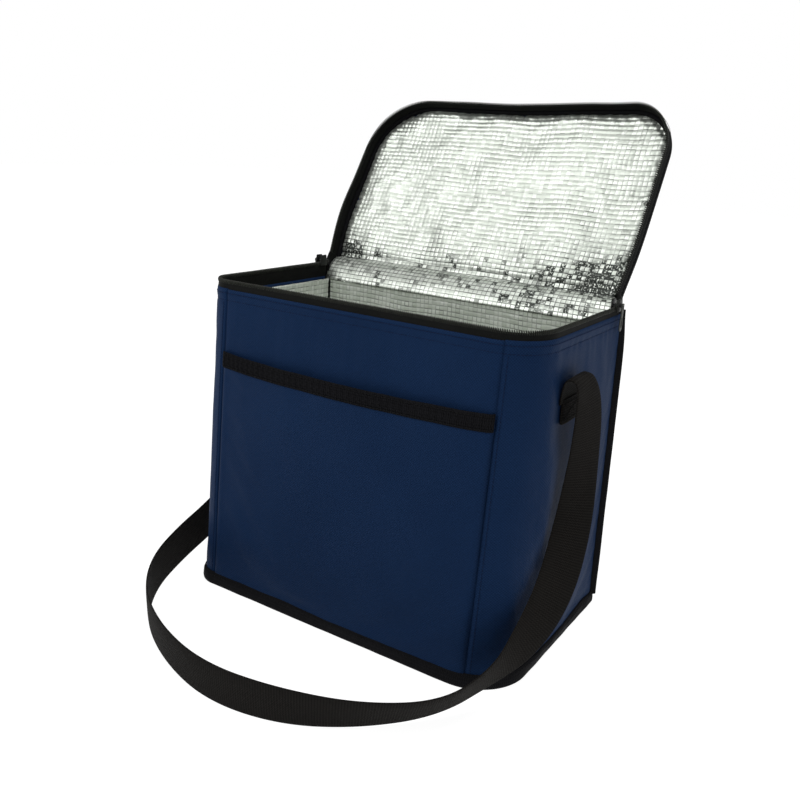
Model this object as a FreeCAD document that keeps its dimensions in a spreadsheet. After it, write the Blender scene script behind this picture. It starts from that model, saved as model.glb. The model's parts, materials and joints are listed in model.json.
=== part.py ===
import FreeCAD, Part

import math
import os
import re

from FreeCAD import Placement, Rotation, Vector

# Insulated cooler bag, lid open and shoulder strap lying round its front.
# Frame: millimetres, +Z up, front towards -Y, origin on the floor under the middle of the
# bag's mouth. The walls taper slightly, so every layer of a wall is cut from an envelope:
# a tapered block with two rounded front corners, drawn in from the outer face by an inset.

SIZES = {
    "half_width_bottom": 145.0,  # outer face of the fabric, at the floor
    "half_width_top": 142.0,     # and at the mouth
    "front_bottom": 91.0,        # distance from the origin to the front face
    "front_top": 78.0,
    "rear_bottom": 84.0,         # and to the rear face
    "rear_top": 78.0,
    "rim_height": 260.0,         # top of the zipper coil on the body
    "corner_radius": 34.0,       # the two front corners
    "seam_half": 120.0,          # panel seams on the front, each side of the middle
    "hem_height": 250.0,         # top edge of the outer fabric
    "lining_height": 243.0,      # top edge of foam and foil
    "fabric": 0.8,
    "foam_out": 1.0,             # insets of the foam's two faces
    "foam_in": 5.0,
    "foil_out": 5.1,             # insets of the foil liner's two faces
    "foil_in": 5.6,
    "base_board_low": 1.0,
    "base_board_high": 3.0,
    "base_foam_low": 3.1,
    "base_foam_high": 7.1,
    "base_foil_low": 7.2,
    "base_foil_high": 7.6,
    "wall_low": 7.8,             # where foam and foil of the walls start
    "binding_height": 10.0,      # folded tape round the bottom edge
    "binding_out": 1.7,          # how far it stands out of the fabric
    "air_gap": 0.15,               # air between layers that touch in the real bag
    "pocket_gap": 8.0,           # pocket sheet to front panel
    "pocket_low": 11.0,
    "pocket_high": 193.0,
    "trim_high": 203.0,          # top of the webbing on the pocket's edge
    "trim_thick": 1.0,
    "tape_out": 1.0,             # insets of the zipper tape
    "tape_in": 1.8,
    "tape_low": 244.0,
    "coil_low": 258.0,
    "coil_out": 0.4,
    "coil_in": 2.4,
    "facing_out": 2.0,
    "facing_in": 2.6,
    "facing_low": 243.2,
    "facing_high": 247.0,
    "tape_rear": 76.0,           # rear end of the side runs of the zipper
    "coil_rear": 72.3,
    "stop_length": 3.0,
    "hinge_strip_high": 257.0,
    "hinge_strip_half": 138.0,
    "hinge_y": 79.0,
    "hinge_z": 260.5,
    "lid_open": 117.0,           # degrees from closed to the pose at rest
    "lid_rear": 77.9,
    "lid_coil_low": 261.1,       # heights of the closed lid's layers
    "lid_coil_high": 263.1,
    "lid_tape_high": 271.8,
    "lid_flap_low": 263.5,
    "lid_side_low": 269.0,
    "lid_bind_low": 270.6,
    "lid_bind_wide": 6.0,
    "lid_foil_low": 272.0,
    "lid_foil_high": 272.4,
    "lid_foam_low": 272.5,
    "lid_foam_high": 276.5,
    "lid_top_low": 276.7,
    "lid_top_high": 277.5,
    "fin_wide": 6.0,             # bound seams down the rear corners
    "fin_thick": 2.4,
    "fin_low": 10.4,
    "fin_high": 240.0,
    "strap_wide": 32.0,
    "strap_thick": 1.6,
    "strap_end_low": 182.0,
    "strap_end_high": 206.0,
    "strap_y": -18.0,
    "slider_y": 66.0,
    "slider_long": 10.0,
    "slider_plate": 1.4,
    "slider_low": 255.5,
    "slider_high": 265.6,
    "web_low": 260.3,
    "web_high": 260.8,
    "web_long": 4.0,
    "bail_y": 2.0,               # inner faces of the two ears that carry the pull
    "bail_ear": 1.0,
    "bail_out": 3.3,
    "bail_radius": 0.7,
    "pull_eye": 1.1,
    "pull_round": 1.9,
    "pull_wide": 5.0,
    "pull_thick": 1.3,
    "pull_long": 20.0,
}
WORD = re.compile(r"[a-z_]+")

doc = FreeCAD.newDocument("cooler_bag")
sheet = doc.addObject("Spreadsheet::Sheet", "Sizes")
for row, (name, value) in enumerate(SIZES.items(), start=1):
    sheet.set(f"A{row}", name)
    sheet.set(f"B{row}", str(value))
    sheet.setAlias(f"B{row}", name)
doc.recompute()

pieces = []


def cell(name):
    """A size, read back from the sheet."""
    return float(sheet.get(name))


def bind(item, **formulas):
    """Bind an object's sizes to the sheet; words in a formula are the sheet's names."""
    for prop, formula in formulas.items():
        text = WORD.sub(lambda word: "Sizes." + word.group() if word.group() in SIZES else word.group(),
                        str(formula))
        item.setExpression(prop.replace("__", "."), text)


def block(x, y, z, name="block"):
    """A box between two formulas along each axis."""
    box = doc.addObject("Part::Box", name)
    bind(box, Length=f"({x[1]}) - ({x[0]})", Width=f"({y[1]}) - ({y[0]})", Height=f"({z[1]}) - ({z[0]})",
         Placement__Base__x=x[0], Placement__Base__y=y[0], Placement__Base__z=z[0])
    return box


def rod(radius, y, x, z):
    """A cylinder along Y between two formulas, its axis at x, z."""
    bar = doc.addObject("Part::Cylinder", "rod")
    bar.Placement.Rotation = Rotation(Vector(1, 0, 0), -90)
    bind(bar, Radius=radius, Height=f"({y[1]}) - ({y[0]})",
         Placement__Base__x=x, Placement__Base__y=y[0], Placement__Base__z=z)
    return bar


def boolean(kind, base, tool):
    result = doc.addObject("Part::" + kind, kind.lower())
    result.Base = base
    result.Tool = tool
    return result


def fuse(shapes):
    result = doc.addObject("Part::MultiFuse", "fuse")
    result.Shapes = shapes
    return result


def keep(item, label):
    """Name a finished piece."""
    item.Label = label
    pieces.append(item)
    return item


def round_front(body, feature, is_front_edge, radius):
    """Round the two front corners of a body's first feature."""
    doc.recompute()
    edges = [f"Edge{n}" for n, edge in enumerate(feature.Shape.Edges, start=1) if is_front_edge(edge)]
    corner = body.newObject("PartDesign::Fillet", "FrontCorners")
    corner.Base = (feature, edges)
    bind(corner, Radius=radius)
    return corner


def envelope(side, front, rear):
    """The bag's tapered outer form, drawn in by an inset at its sides, front and rear.

    The wedge's own Y axis runs up the bag, so the body is turned to stand it up.
    """
    body = doc.addObject("PartDesign::Body", "envelope")
    wedge = body.newObject("PartDesign::AdditiveWedge", "Taper")
    bind(wedge, Ymin="0", Ymax="rim_height",
         Xmin=f"({side}) - half_width_bottom", Xmax=f"half_width_bottom - ({side})",
         X2min=f"({side}) - half_width_top", X2max=f"half_width_top - ({side})",
         Zmin=f"({rear}) - rear_bottom", Zmax=f"front_bottom - ({front})",
         Z2min=f"({rear}) - rear_top", Z2max=f"front_top - ({front})")
    body.Placement = Placement(Vector(), Rotation(Vector(1, 0, 0), 90))
    round_front(body, wedge, lambda edge: edge.BoundBox.YLength > 100 and edge.CenterOfMass.z > 0,
                f"corner_radius - ({front})")
    return body


def u_layer(label, outer, inner, x, z, rear="rear_top - tape_rear"):
    """A layer of the front and side walls between two insets, open at the rear."""
    ring = boolean("Cut", envelope(outer, outer, rear), envelope(inner, inner, "-20"))
    return keep(boolean("Common", ring, block(x, ("-150", "150"), z)), label)


def rear_layer(label, side, outer, inner, z):
    """A layer of the rear wall between two insets."""
    slab = boolean("Cut", envelope(side, "0", outer), envelope("-5", "-5", inner))
    return keep(boolean("Common", slab, block(("-150", "150"), ("0", "150"), z)), label)


def floor_layer(label, inset, z):
    """A layer of the bag's bottom."""
    return keep(boolean("Common", envelope(inset, inset, inset), block(("-150", "150"), ("-150", "150"), z)),
                label)


WHOLE = ("-150", "150")
FRONT = ("0.1 - seam_half", "seam_half - 0.1")
SIDES = {"left": ("-150", "-seam_half"), "right": ("seam_half", "150")}

# Outer fabric, foam and foil of the walls: front, two gussets that wrap the corners, rear.
u_layer("front_panel", "0", "fabric", FRONT, ("1", "hem_height"))
u_layer("front_foam", "foam_out", "foam_in", FRONT, ("base_foil_low", "lining_height"))
u_layer("front_liner", "foil_out", "foil_in", FRONT, ("wall_low", "lining_height"))
for hand, reach in SIDES.items():
    u_layer(hand + "_gusset", "0", "fabric", reach, ("1", "hem_height"), "fabric + air_gap")
    u_layer(hand + "_foam", "foam_out", "foam_in", reach, ("base_foil_low", "lining_height"),
            "foil_in + air_gap")
    u_layer(hand + "_liner", "foil_out", "foil_in", reach, ("wall_low", "lining_height"), "foil_in + air_gap")
rear_layer("back_panel", "0", "0", "fabric", ("1", "hem_height"))
rear_layer("back_foam", "foam_out", "foam_out", "foam_in", ("base_foil_low", "lining_height"))
rear_layer("back_liner", "foil_out", "foil_out", "foil_in - 0.1", ("wall_low", "lining_height"))

# Bottom: fabric on the floor, a stiff board, foam, foil, and the tape that binds the edge.
floor_layer("base_panel", "0", ("0", "fabric"))
floor_layer("base_board", "foam_out", ("base_board_low", "base_board_high"))
floor_layer("base_foam", "foam_out", ("base_foam_low", "base_foam_high"))
floor_layer("base_liner", "foil_out", ("base_foil_low", "base_foil_high"))
hoop = boolean("Cut", envelope("-binding_out", "-binding_out", "-binding_out"),
               envelope("-air_gap", "-air_gap", "-air_gap"))
keep(boolean("Common", hoop, block(WHOLE, WHOLE, ("0", "binding_height"))), "bottom_binding")

# Pocket: a sheet in front of the front panel, closed at its sides and bottom, and the ribbed
# webbing along its open edge.
pocket_outer = boolean("Common", envelope("-pocket_gap - fabric", "-pocket_gap - fabric", "0"),
                       block(FRONT, ("-150", "0"), ("pocket_low", "pocket_high")))
pocket_space = boolean("Common", envelope("-pocket_gap", "-pocket_gap", "0"),
                       block(("0.1 + fabric - seam_half", "seam_half - fabric - 0.1"), ("-150", "0"),
                             ("pocket_low + fabric", "pocket_high + 5")))
pocket_shell = boolean("Cut", pocket_outer, pocket_space)
keep(boolean("Cut", pocket_shell, envelope("-air_gap", "-air_gap", "-5")), "front_pocket")
trim = boolean("Cut", envelope("-pocket_gap - trim_thick", "-pocket_gap - trim_thick", "0"),
               envelope("-pocket_gap", "-pocket_gap", "-5"))
keep(boolean("Common", trim, block(FRONT, ("-150", "0"), ("pocket_high + 0.1", "trim_high"))), "pocket_trim")

# Half the zipper on the body's rim: tape, coil, facing inside, stops at the two ends.
u_layer("body_zipper_tape", "tape_out", "tape_in", WHOLE, ("tape_low", "coil_low - 0.1"))
u_layer("body_zipper_coil", "coil_out", "coil_in", WHOLE, ("coil_low", "rim_height"), "rear_top - coil_rear")
u_layer("rim_facing", "facing_out", "facing_in", WHOLE, ("facing_low", "facing_high"))
for hand, sign in (("left", -1), ("right", 1)):
    reach = sorted((f"{sign} * (half_width_top - coil_in)", f"{sign} * (half_width_top - coil_out)"),
                   key=lambda text: -sign if "coil_in" in text else sign)
    keep(block(reach, ("coil_rear + 0.2", "coil_rear + 0.2 + stop_length"), ("coil_low", "rim_height")),
         "zip_stop_" + hand)

# Strip that carries the back panel up to the hinge line.
rear_strip = boolean("Cut", envelope("0", "0", "0"), envelope("-5", "-5", "fabric * 2"))
keep(boolean("Common", rear_strip, block(("-hinge_strip_half", "hinge_strip_half"), ("0", "150"),
                                         ("hem_height + 0.1", "hinge_strip_high"))), "hinge_strip")

# Bound seams down the rear corners: straight fins that stand out along the corner's diagonal.
lean = Vector(cell("half_width_top") - cell("half_width_bottom"),
              cell("rear_top") - cell("rear_bottom"), cell("rim_height"))
for hand, sign in (("left", -1), ("right", 1)):
    fin = doc.addObject("Part::Box", "fin")
    bind(fin, Length="fin_wide", Width="fin_thick", Height="fin_high - fin_low")
    up = Vector(sign * lean.x, lean.y, lean.z).normalize()
    out = Vector(sign, 1, 0).normalize()
    across = up.cross(out).normalize()
    turn = Rotation(across.cross(up), across, up, "ZXY")
    share = cell("fin_low") / cell("rim_height")
    foot = Vector(sign * (cell("half_width_bottom") + share * lean.x), cell("rear_bottom") + share * lean.y,
                  cell("fin_low"))
    fin.Placement = Placement(foot + out * 0.3 - across * cell("fin_thick") / 2 + out * cell("fin_thick") / 2,
                              turn)
    keep(fin, f"rear_{hand}_binding")


def lid_slab(inset, z, rear="0"):
    """A flat block with the lid's outline, drawn in by an inset, for the closed lid."""
    body = doc.addObject("PartDesign::Body", "lid_slab")
    slab = body.newObject("PartDesign::AdditiveBox", "Slab")
    bind(slab, Length=f"2 * (half_width_top - ({inset}))",
         Width=f"front_top + lid_rear - ({inset}) - ({rear})", Height=f"({z[1]}) - ({z[0]})")
    round_front(body, slab, lambda edge: edge.BoundBox.ZLength > 0.1 and edge.CenterOfMass.y < 1,
                f"corner_radius - ({inset})")
    bind(body, Placement__Base__x=f"({inset}) - half_width_top", Placement__Base__y=f"({inset}) - front_top",
         Placement__Base__z=z[0])
    return body


def lid_piece(item, label):
    """Swing a piece of the closed lid back about the hinge line, and name it."""
    turned = doc.addObject("Part::Feature", "opened")
    doc.recompute()
    turned.Shape = item.Shape
    pivot = Vector(0, cell("hinge_y"), cell("hinge_z"))
    swing = Placement(Vector(), Rotation(Vector(1, 0, 0), -cell("lid_open")), pivot)
    turned.Placement = swing.multiply(item.Placement)
    return keep(turned, label)


# Lid: a shallow fabric tray, foam, foil, bound seam, its half of the zipper, hinge flap.
lid_hull = boolean("Cut", lid_slab("0", ("lid_side_low", "lid_top_high")),
                   lid_slab("fabric", ("lid_side_low - 1", "lid_top_low"), "fabric"))
lid_piece(lid_hull, "lid_shell")
lid_piece(lid_slab("foam_out", ("lid_foam_low", "lid_foam_high"), "foam_out"), "lid_foam")
lid_piece(lid_slab("foam_out", ("lid_foil_low", "lid_foil_high"), "foam_out"), "lid_liner")
lid_ring = boolean("Cut", lid_slab("facing_out", ("lid_bind_low", "lid_foil_low - 0.1"), "facing_out"),
                   lid_slab("facing_out + lid_bind_wide", ("lid_bind_low - 1", "lid_foil_low + 1"),
                            "facing_out + lid_bind_wide"))
lid_piece(lid_ring, "lid_binding")
lid_tape = boolean("Cut", lid_slab("tape_out", ("lid_coil_high + 0.1", "lid_tape_high"), "lid_rear - tape_rear"),
                   lid_slab("tape_in", ("lid_coil_high - 1", "lid_tape_high + 1"), "-9"))
lid_piece(lid_tape, "lid_zipper_tape")
lid_coil = boolean("Cut", lid_slab("coil_out", ("lid_coil_low", "lid_coil_high"), "lid_rear - coil_rear"),
                   lid_slab("coil_in", ("lid_coil_low - 1", "lid_coil_high + 1"), "-9"))
lid_piece(lid_coil, "lid_zipper_coil")
lid_piece(block(("-hinge_strip_half", "hinge_strip_half"), ("lid_rear - fabric * 2", "lid_rear"),
                ("lid_flap_low", "lid_side_low - 0.1")), "lid_hinge_flap")

# Two sliders on the side runs of the body's coil, each with a pull on a small bail.
for hand, sign in (("left", -1), ("right", 1)):
    near = f"{sign} * (half_width_top - coil_in - 0.3)"
    far = f"{sign} * (half_width_top - coil_out + 0.3)"

    def span(first, second):
        """Two distances from the slot's faces, in rising order on either side of the bag."""
        return (first, second) if sign > 0 else (second, first)

    back = ("slider_y - slider_long / 2", "slider_y + slider_long / 2")
    tall = ("slider_low", "slider_high")
    inner_plate = block(span(f"{near} - {sign} * slider_plate", near), back, tall)
    outer_plate = block(span(far, f"{far} + {sign} * slider_plate"), back, tall)
    web = block(span(near, far), ("slider_y - web_long / 2", "slider_y + web_long / 2"),
                ("web_low", "web_high"))
    tip = f"{far} + {sign} * (slider_plate + bail_out)"
    bar_x = f"{far} + {sign} * (slider_plate + 2.1)"
    bar_z = "(slider_low + slider_high) / 2"
    ear_tall = (f"{bar_z} - 1.4", f"{bar_z} + 1.4")
    ears = [block(span(far, tip), (f"slider_y + {low}", f"slider_y + {high}"), ear_tall)
            for low, high in (("bail_y", "bail_y + bail_ear"), ("(-bail_y) - bail_ear", "(-bail_y)"))]
    bar = rod("bail_radius", ("slider_y - bail_y - bail_ear / 2", "slider_y + bail_y + bail_ear / 2"),
              bar_x, bar_z)
    keep(fuse([inner_plate, outer_plate, web, bar] + ears), "slider_" + hand)

    eye = rod("pull_round", ("slider_y - bail_y + 0.3", "slider_y + bail_y - 0.3"), bar_x, bar_z)
    neck = block(span(f"{bar_x} - {sign} * pull_thick / 2", f"{bar_x} + {sign} * pull_thick / 2"),
                 ("slider_y - bail_y + 0.3", "slider_y + bail_y - 0.3"), (f"{bar_z} - 4", f"{bar_z} - 1.2"))
    tab = block(span(f"{bar_x} - {sign} * pull_thick / 2", f"{bar_x} + {sign} * pull_thick / 2"),
                ("slider_y - pull_wide / 2", "slider_y + pull_wide / 2"),
                (f"{bar_z} - pull_long", f"{bar_z} - 3.5"))
    hole = rod("pull_eye", ("slider_y - 5", "slider_y + 5"), bar_x, bar_z)
    keep(boolean("Cut", fuse([eye, neck, tab]), hole), "pull_" + hand)

# Ends of the shoulder strap, sewn flat to the gussets.
for hand, sign in (("left", -1), ("right", 1)):
    reach = ("-160", "-100") if sign < 0 else ("100", "160")
    patch = boolean("Cut", envelope("-air_gap - strap_thick", "-5", "-5"), envelope("-air_gap", "-6", "-6"))
    keep(boolean("Common", patch, block(reach, ("strap_y - strap_wide / 2", "strap_y + strap_wide / 2"),
                                        ("strap_end_low", "strap_end_high"))), "strap_end_" + hand)

# Shoulder strap: it leaves each sewn end upwards, folds over, hangs beside the bag and lies
# on its edge on the floor round the front. Each point of the route is the middle of the
# webbing, then the direction from its lower edge to its upper edge there.
ROUTE = [
    ((143.7, -18, 206.2), (0, -1, 0)),
    ((143.9, -18, 217), (0, -1, 0)),
    ((147, -18, 226), (0.05, -1, 0)),
    ((158, -17, 226), (0.1, -1, 0)),
    ((161, -15, 205), (-0.05, -1, 0)),
    ((161, -11, 160), (-0.3, -0.95, 0)),
    ((162, -13, 112), (-0.75, -0.65, 0.1)),
    ((163, -28, 72), (-0.85, -0.45, 0.3)),
    ((158, -56, 40), (-0.55, -0.5, 0.6)),
    ((148, -96, 20), (0.2, -0.5, 0.75)),
    ((126, -139, 14), (0.3, -0.5, 0.8)),
    ((88, -177, 15), (0.2, -0.4, 0.9)),
    ((40, -203, 16.5), (0.05, -0.15, 1)),
    ((-15, -212, 16.8), (0, -0.1, 1)),
    ((-70, -198, 16.8), (0, -0.1, 1)),
    ((-120, -170, 16.9), (0, -0.05, 1)),
    ((-153, -131, 18), (-0.05, 0, 1)),
    ((-171, -85, 21), (-0.1, 0, 1)),
    ((-180, -38, 28), (-0.1, -0.1, 1)),
    ((-184, 8, 46), (-0.1, -0.4, 0.9)),
    ((-181, 36, 92), (-0.1, -0.9, 0.3)),
    ((-169, 20, 150), (0, -1, -0.1)),
    ((-162, -8, 200), (0, -1, -0.1)),
    ((-158, -18, 226), (0, -1, 0)),
    ((-147, -18, 226), (0, -1, 0)),
    ((-143.9, -18, 217), (0, -1, 0)),
    ((-143.7, -18, 206.2), (0, -1, 0)),
]
ARC_SHARE = 0.45
ARC_STEPS = 5


def strap_stations():
    """Points along the route's straight runs and tangent arcs, each with its upright direction."""
    spots = [Vector(*spot) for spot, tilt in ROUTE]
    tilts = [Vector(*tilt).normalize() for spot, tilt in ROUTE]
    stations = [(spots[0], tilts[0])]
    length = 0.0
    radii = []
    for here in range(1, len(spots) - 1):
        run_in = spots[here] - spots[here - 1]
        run_out = spots[here + 1] - spots[here]
        reach = ARC_SHARE * min(run_in.Length, run_out.Length)
        turn = run_in.getAngle(run_out)
        radii.append(reach / math.tan(turn / 2))
        start = spots[here] - Vector(run_in).normalize() * reach
        end = spots[here] + Vector(run_out).normalize() * reach
        bulge = (start + end) * 0.5 - spots[here]
        middle = spots[here] + bulge.normalize() * (radii[-1] / math.cos(turn / 2) - radii[-1])
        arc = Part.Arc(start, middle, end).toShape()
        length += (start - stations[-1][0]).Length + arc.Length
        for step, point in enumerate(arc.discretize(ARC_STEPS)):
            share = step / (ARC_STEPS - 1)
            before = tilts[here] * (1 - ARC_SHARE) + tilts[here - 1] * ARC_SHARE
            after = tilts[here] * (1 - ARC_SHARE) + tilts[here + 1] * ARC_SHARE
            mixed = before * (1 - share) + after * share
            stations.append((point, mixed.normalize()))
    length += (spots[-1] - stations[-1][0]).Length
    stations.append((spots[-1], tilts[-1]))
    print("strap radii, mm:", " ".join(f"{radius:.0f}" for radius in radii))
    return stations, length


def strap_solid(stations, wide, thick):
    """A flat ribbon with a rectangular section, closed from triangles because it twists."""
    sections = []
    for place, (point, tilt) in enumerate(stations):
        ahead = stations[min(place + 1, len(stations) - 1)][0]
        behind = stations[max(place - 1, 0)][0]
        along = (ahead - behind).normalize()
        rise = (tilt - along * tilt.dot(along)).normalize()
        out = along.cross(rise)
        sections.append([point + rise * (wide / 2 * up) + out * (thick / 2 * side)
                         for up, side in ((-1, -1), (1, -1), (1, 1), (-1, 1))])
    faces = []
    first, last = sections[0], sections[-1]
    for ring in (first, last):
        faces += [(ring[0], ring[1], ring[2]), (ring[0], ring[2], ring[3])]
    for one, two in zip(sections, sections[1:]):
        for corner in range(4):
            after = (corner + 1) % 4
            faces += [(one[corner], one[after], two[corner]), (one[after], two[after], two[corner])]
    shell = Part.Shell([Part.Face(Part.makePolygon([a, b, c, a])) for a, b, c in faces])
    shell.sewShape()
    solid = Part.Solid(shell)
    solid.fix(0.001, 0.001, 0.01)
    if solid.Volume < 0:
        solid.reverse()
    return solid


stations, strap_length = strap_stations()
strap = doc.addObject("Part::Feature", "ribbon")
strap.Shape = strap_solid(stations, cell("strap_wide"), cell("strap_thick"))
keep(strap, "shoulder_strap")
expected = strap_length * cell("strap_wide") * cell("strap_thick")
print(f"strap: {strap_length:.0f} mm long, volume {strap.Shape.Volume:.0f} mm3, section times length {expected:.0f}")

doc.recompute()
failed = [item.Label for item in doc.Objects if {"Invalid", "Error"} & set(item.State)]
bad = [item.Label for item in pieces if item.Shape.isNull() or not item.Shape.isValid()]
if failed or bad:
    raise RuntimeError(f"failed objects: {failed}; bad shapes: {bad}")

os.makedirs("parts", exist_ok=True)
for item in pieces:
    box = item.Shape.BoundBox
    item.Shape.exportStep(f"parts/{item.Label}.step")
    print(f"{item.Label:18s} {len(item.Shape.Solids)} solid {item.Shape.Volume / 1000:8.2f} cm3  "
          f"x {box.XMin:7.1f} {box.XMax:7.1f}  y {box.YMin:7.1f} {box.YMax:7.1f}  "
          f"z {box.ZMin:6.1f} {box.ZMax:6.1f}")
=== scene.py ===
# %% [markdown]
# # An insulated cooler bag
# This lesson dresses the rigid frame of a soft cooler bag. The frame holds sizes and joints; here each
# layer of cloth, foil, webbing and zipper gets its real surface. The bag stands open: its lid, lined
# with embossed foil, leans back on its rear edge, and a long strap lies round its front.

# %% Load the frame
import json
import math

import bmesh
import bpy
from mathutils import Matrix, Vector, noise


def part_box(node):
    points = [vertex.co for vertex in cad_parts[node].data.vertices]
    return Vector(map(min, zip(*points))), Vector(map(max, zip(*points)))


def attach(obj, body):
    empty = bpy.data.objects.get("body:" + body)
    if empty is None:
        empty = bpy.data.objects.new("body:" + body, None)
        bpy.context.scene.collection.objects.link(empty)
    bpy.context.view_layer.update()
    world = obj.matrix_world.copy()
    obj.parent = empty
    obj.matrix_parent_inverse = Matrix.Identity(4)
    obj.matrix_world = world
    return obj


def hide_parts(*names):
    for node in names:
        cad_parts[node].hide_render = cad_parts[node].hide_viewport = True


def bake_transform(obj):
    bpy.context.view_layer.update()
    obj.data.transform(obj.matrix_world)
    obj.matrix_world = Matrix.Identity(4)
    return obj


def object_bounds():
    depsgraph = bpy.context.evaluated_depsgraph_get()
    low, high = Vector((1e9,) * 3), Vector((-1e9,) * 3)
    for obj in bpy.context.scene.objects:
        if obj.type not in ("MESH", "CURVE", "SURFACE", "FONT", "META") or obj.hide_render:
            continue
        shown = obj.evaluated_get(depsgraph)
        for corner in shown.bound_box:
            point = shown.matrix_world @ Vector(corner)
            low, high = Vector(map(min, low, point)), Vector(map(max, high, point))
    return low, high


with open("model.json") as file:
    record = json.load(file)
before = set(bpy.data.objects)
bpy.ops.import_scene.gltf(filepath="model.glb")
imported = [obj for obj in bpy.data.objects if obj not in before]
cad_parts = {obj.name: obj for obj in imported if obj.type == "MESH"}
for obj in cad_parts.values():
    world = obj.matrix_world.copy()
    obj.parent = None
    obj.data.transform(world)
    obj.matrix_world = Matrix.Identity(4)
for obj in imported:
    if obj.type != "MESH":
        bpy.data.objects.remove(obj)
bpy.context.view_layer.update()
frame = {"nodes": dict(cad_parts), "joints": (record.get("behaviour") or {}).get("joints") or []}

# %% [markdown]
# ## The camera
# A product shot looks down a little at one corner. The camera is set first, because everything after
# it is judged through it. It is placed by its position and three angles: turn, tip and lean.

# %% Camera
def place_camera(position, turn, tip, lean, lens):
    ahead = Vector((math.sin(turn) * math.cos(tip), math.cos(turn) * math.cos(tip), -math.sin(tip)))
    level = Vector((math.cos(turn), -math.sin(turn), 0))
    upright = level.cross(ahead)
    right = level * math.cos(lean) + upright * math.sin(lean)
    up = upright * math.cos(lean) - level * math.sin(lean)
    camera = bpy.data.objects.new("camera", bpy.data.cameras.new("camera"))
    camera.data.lens = lens
    camera.data.sensor_width = 36
    axes = Matrix((right, up, -ahead)).transposed().to_4x4()
    camera.matrix_world = Matrix.Translation(position) @ axes
    bpy.context.scene.collection.objects.link(camera)
    bpy.context.scene.camera = camera
    return camera


camera = place_camera((0.3496, -0.5718, 0.3717), turn=-0.556, tip=0.293, lean=0.06, lens=38.94)
print("camera", tuple(round(value, 3) for value in camera.location))

# %% [markdown]
# ## Sizes
# All lengths are in metres. The body is a box that is a little smaller at its mouth than at the floor,
# with two rounded front corners. The small hard parts further down take their places from the frame.

# %% Sizes
HALF_LOW = 0.145
HALF_TOP = 0.142
FRONT_LOW = 0.091
FRONT_TOP = 0.078
REAR_LOW = 0.084
REAR_TOP = 0.078
BEND_LEFT = 0.019
BEND_RIGHT = 0.034
BEND_LOOSER = 0.007
RIM = 0.260
HEM = 0.2518
LINING_TOP = 0.2435
HEM_FOLD = 0.2475
CLOTH = 0.0008

DEPTH = (REAR_LOW + REAR_TOP + FRONT_LOW + FRONT_TOP) / 2
BACK_RUN = HALF_LOW + HALF_TOP
ROUND = [DEPTH - BEND_LEFT, math.pi / 2 * BEND_LEFT, BACK_RUN - BEND_LEFT - BEND_RIGHT,
         math.pi / 2 * BEND_RIGHT, DEPTH - BEND_RIGHT, BACK_RUN]
GIRTH = sum(ROUND)
REAR_RIGHT = GIRTH - BACK_RUN
LEFT_SEAM = ROUND[0] + ROUND[1] + 0.0022
RIGHT_SEAM = sum(ROUND[:3]) + 0.0107
print("girth", round(GIRTH, 4), "seams at", round(LEFT_SEAM, 4), round(RIGHT_SEAM, 4))

# %% [markdown]
# ## One surface for every layer
# A soft bag is one lofted shell. Each layer, from pocket to foil, could be modelled by itself, but
# then they would drift apart. Instead a single function gives the wall at a distance `run` round the
# bag and a height, and each layer only says how far outside or inside that wall it lies.

# %% The wall's plan
def plan(run, z, out):
    """A point on the wall and the direction that points out of the bag there."""
    rise = min(max(z / RIM, 0), 1.1)
    half = HALF_LOW + (HALF_TOP - HALF_LOW) * rise + out
    front = -(FRONT_LOW + (FRONT_TOP - FRONT_LOW) * rise) - out
    rear = REAR_LOW + (REAR_TOP - REAR_LOW) * rise + out
    bend_left = BEND_LEFT + out
    bend_right = BEND_RIGHT + BEND_LOOSER * (1 - min(rise, 1)) + out
    run = run % GIRTH
    part = 0
    while part < 5 and run > ROUND[part]:
        run -= ROUND[part]
        part += 1
    share = run / ROUND[part]
    straight = [
        ((-half, rear), (-half, front + bend_left), (-1, 0)),
        None,
        ((-half + bend_left, front), (half - bend_right, front), (0, -1)),
        None,
        ((half, front + bend_right), (half, rear), (1, 0)),
        ((half, rear), (-half, rear), (0, 1)),
    ][part]
    if straight:
        start, end, facing = straight
        return (Vector((start[0] + (end[0] - start[0]) * share, start[1] + (end[1] - start[1]) * share, z)),
                Vector((facing[0], facing[1], 0)))
    angle = math.pi * (1 + share / 2) if part == 1 else math.pi * (1.5 + share / 2)
    bend = bend_left if part == 1 else bend_right
    middle = -half + bend if part == 1 else half - bend
    facing = Vector((math.cos(angle), math.sin(angle), 0))
    return Vector((middle, front + bend, z)) + facing * bend, facing


print("left seam", plan(LEFT_SEAM, RIM, 0)[0], "right seam", plan(RIGHT_SEAM, RIM, 0)[0])

# %% [markdown]
# ### How the cloth swells and creases
# Foam behind the cloth swells each panel between its seams, seams pull in, and the hem under the
# zipper puckers. These are a few small bumps and grooves added along the outward direction.

# %% Swell and creases
relief_of = {}


def relief(name, across, up):
    """How far a settled sheet stands out, read between the points of its table."""
    if name not in relief_of:
        return 0.0
    columns, rows, heights = relief_of[name]
    along = (across - columns[0]) / (columns[-1] - columns[0]) * (len(columns) - 1)
    above = (up - rows[0]) / (rows[-1] - rows[0]) * (len(rows) - 1)
    along = min(max(along, 0), len(columns) - 1.001)
    above = min(max(above, 0), len(rows) - 1.001)
    i, j = int(along), int(above)
    s, t = along - i, above - j
    return ((heights[i][j] * (1 - s) + heights[i + 1][j] * s) * (1 - t)
            + (heights[i][j + 1] * (1 - s) + heights[i + 1][j + 1] * s) * t)


def bump(distance, width):
    """1 at distance 0 and falling smoothly to nothing a few widths away."""
    return math.exp(-(distance / width) ** 2)


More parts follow.
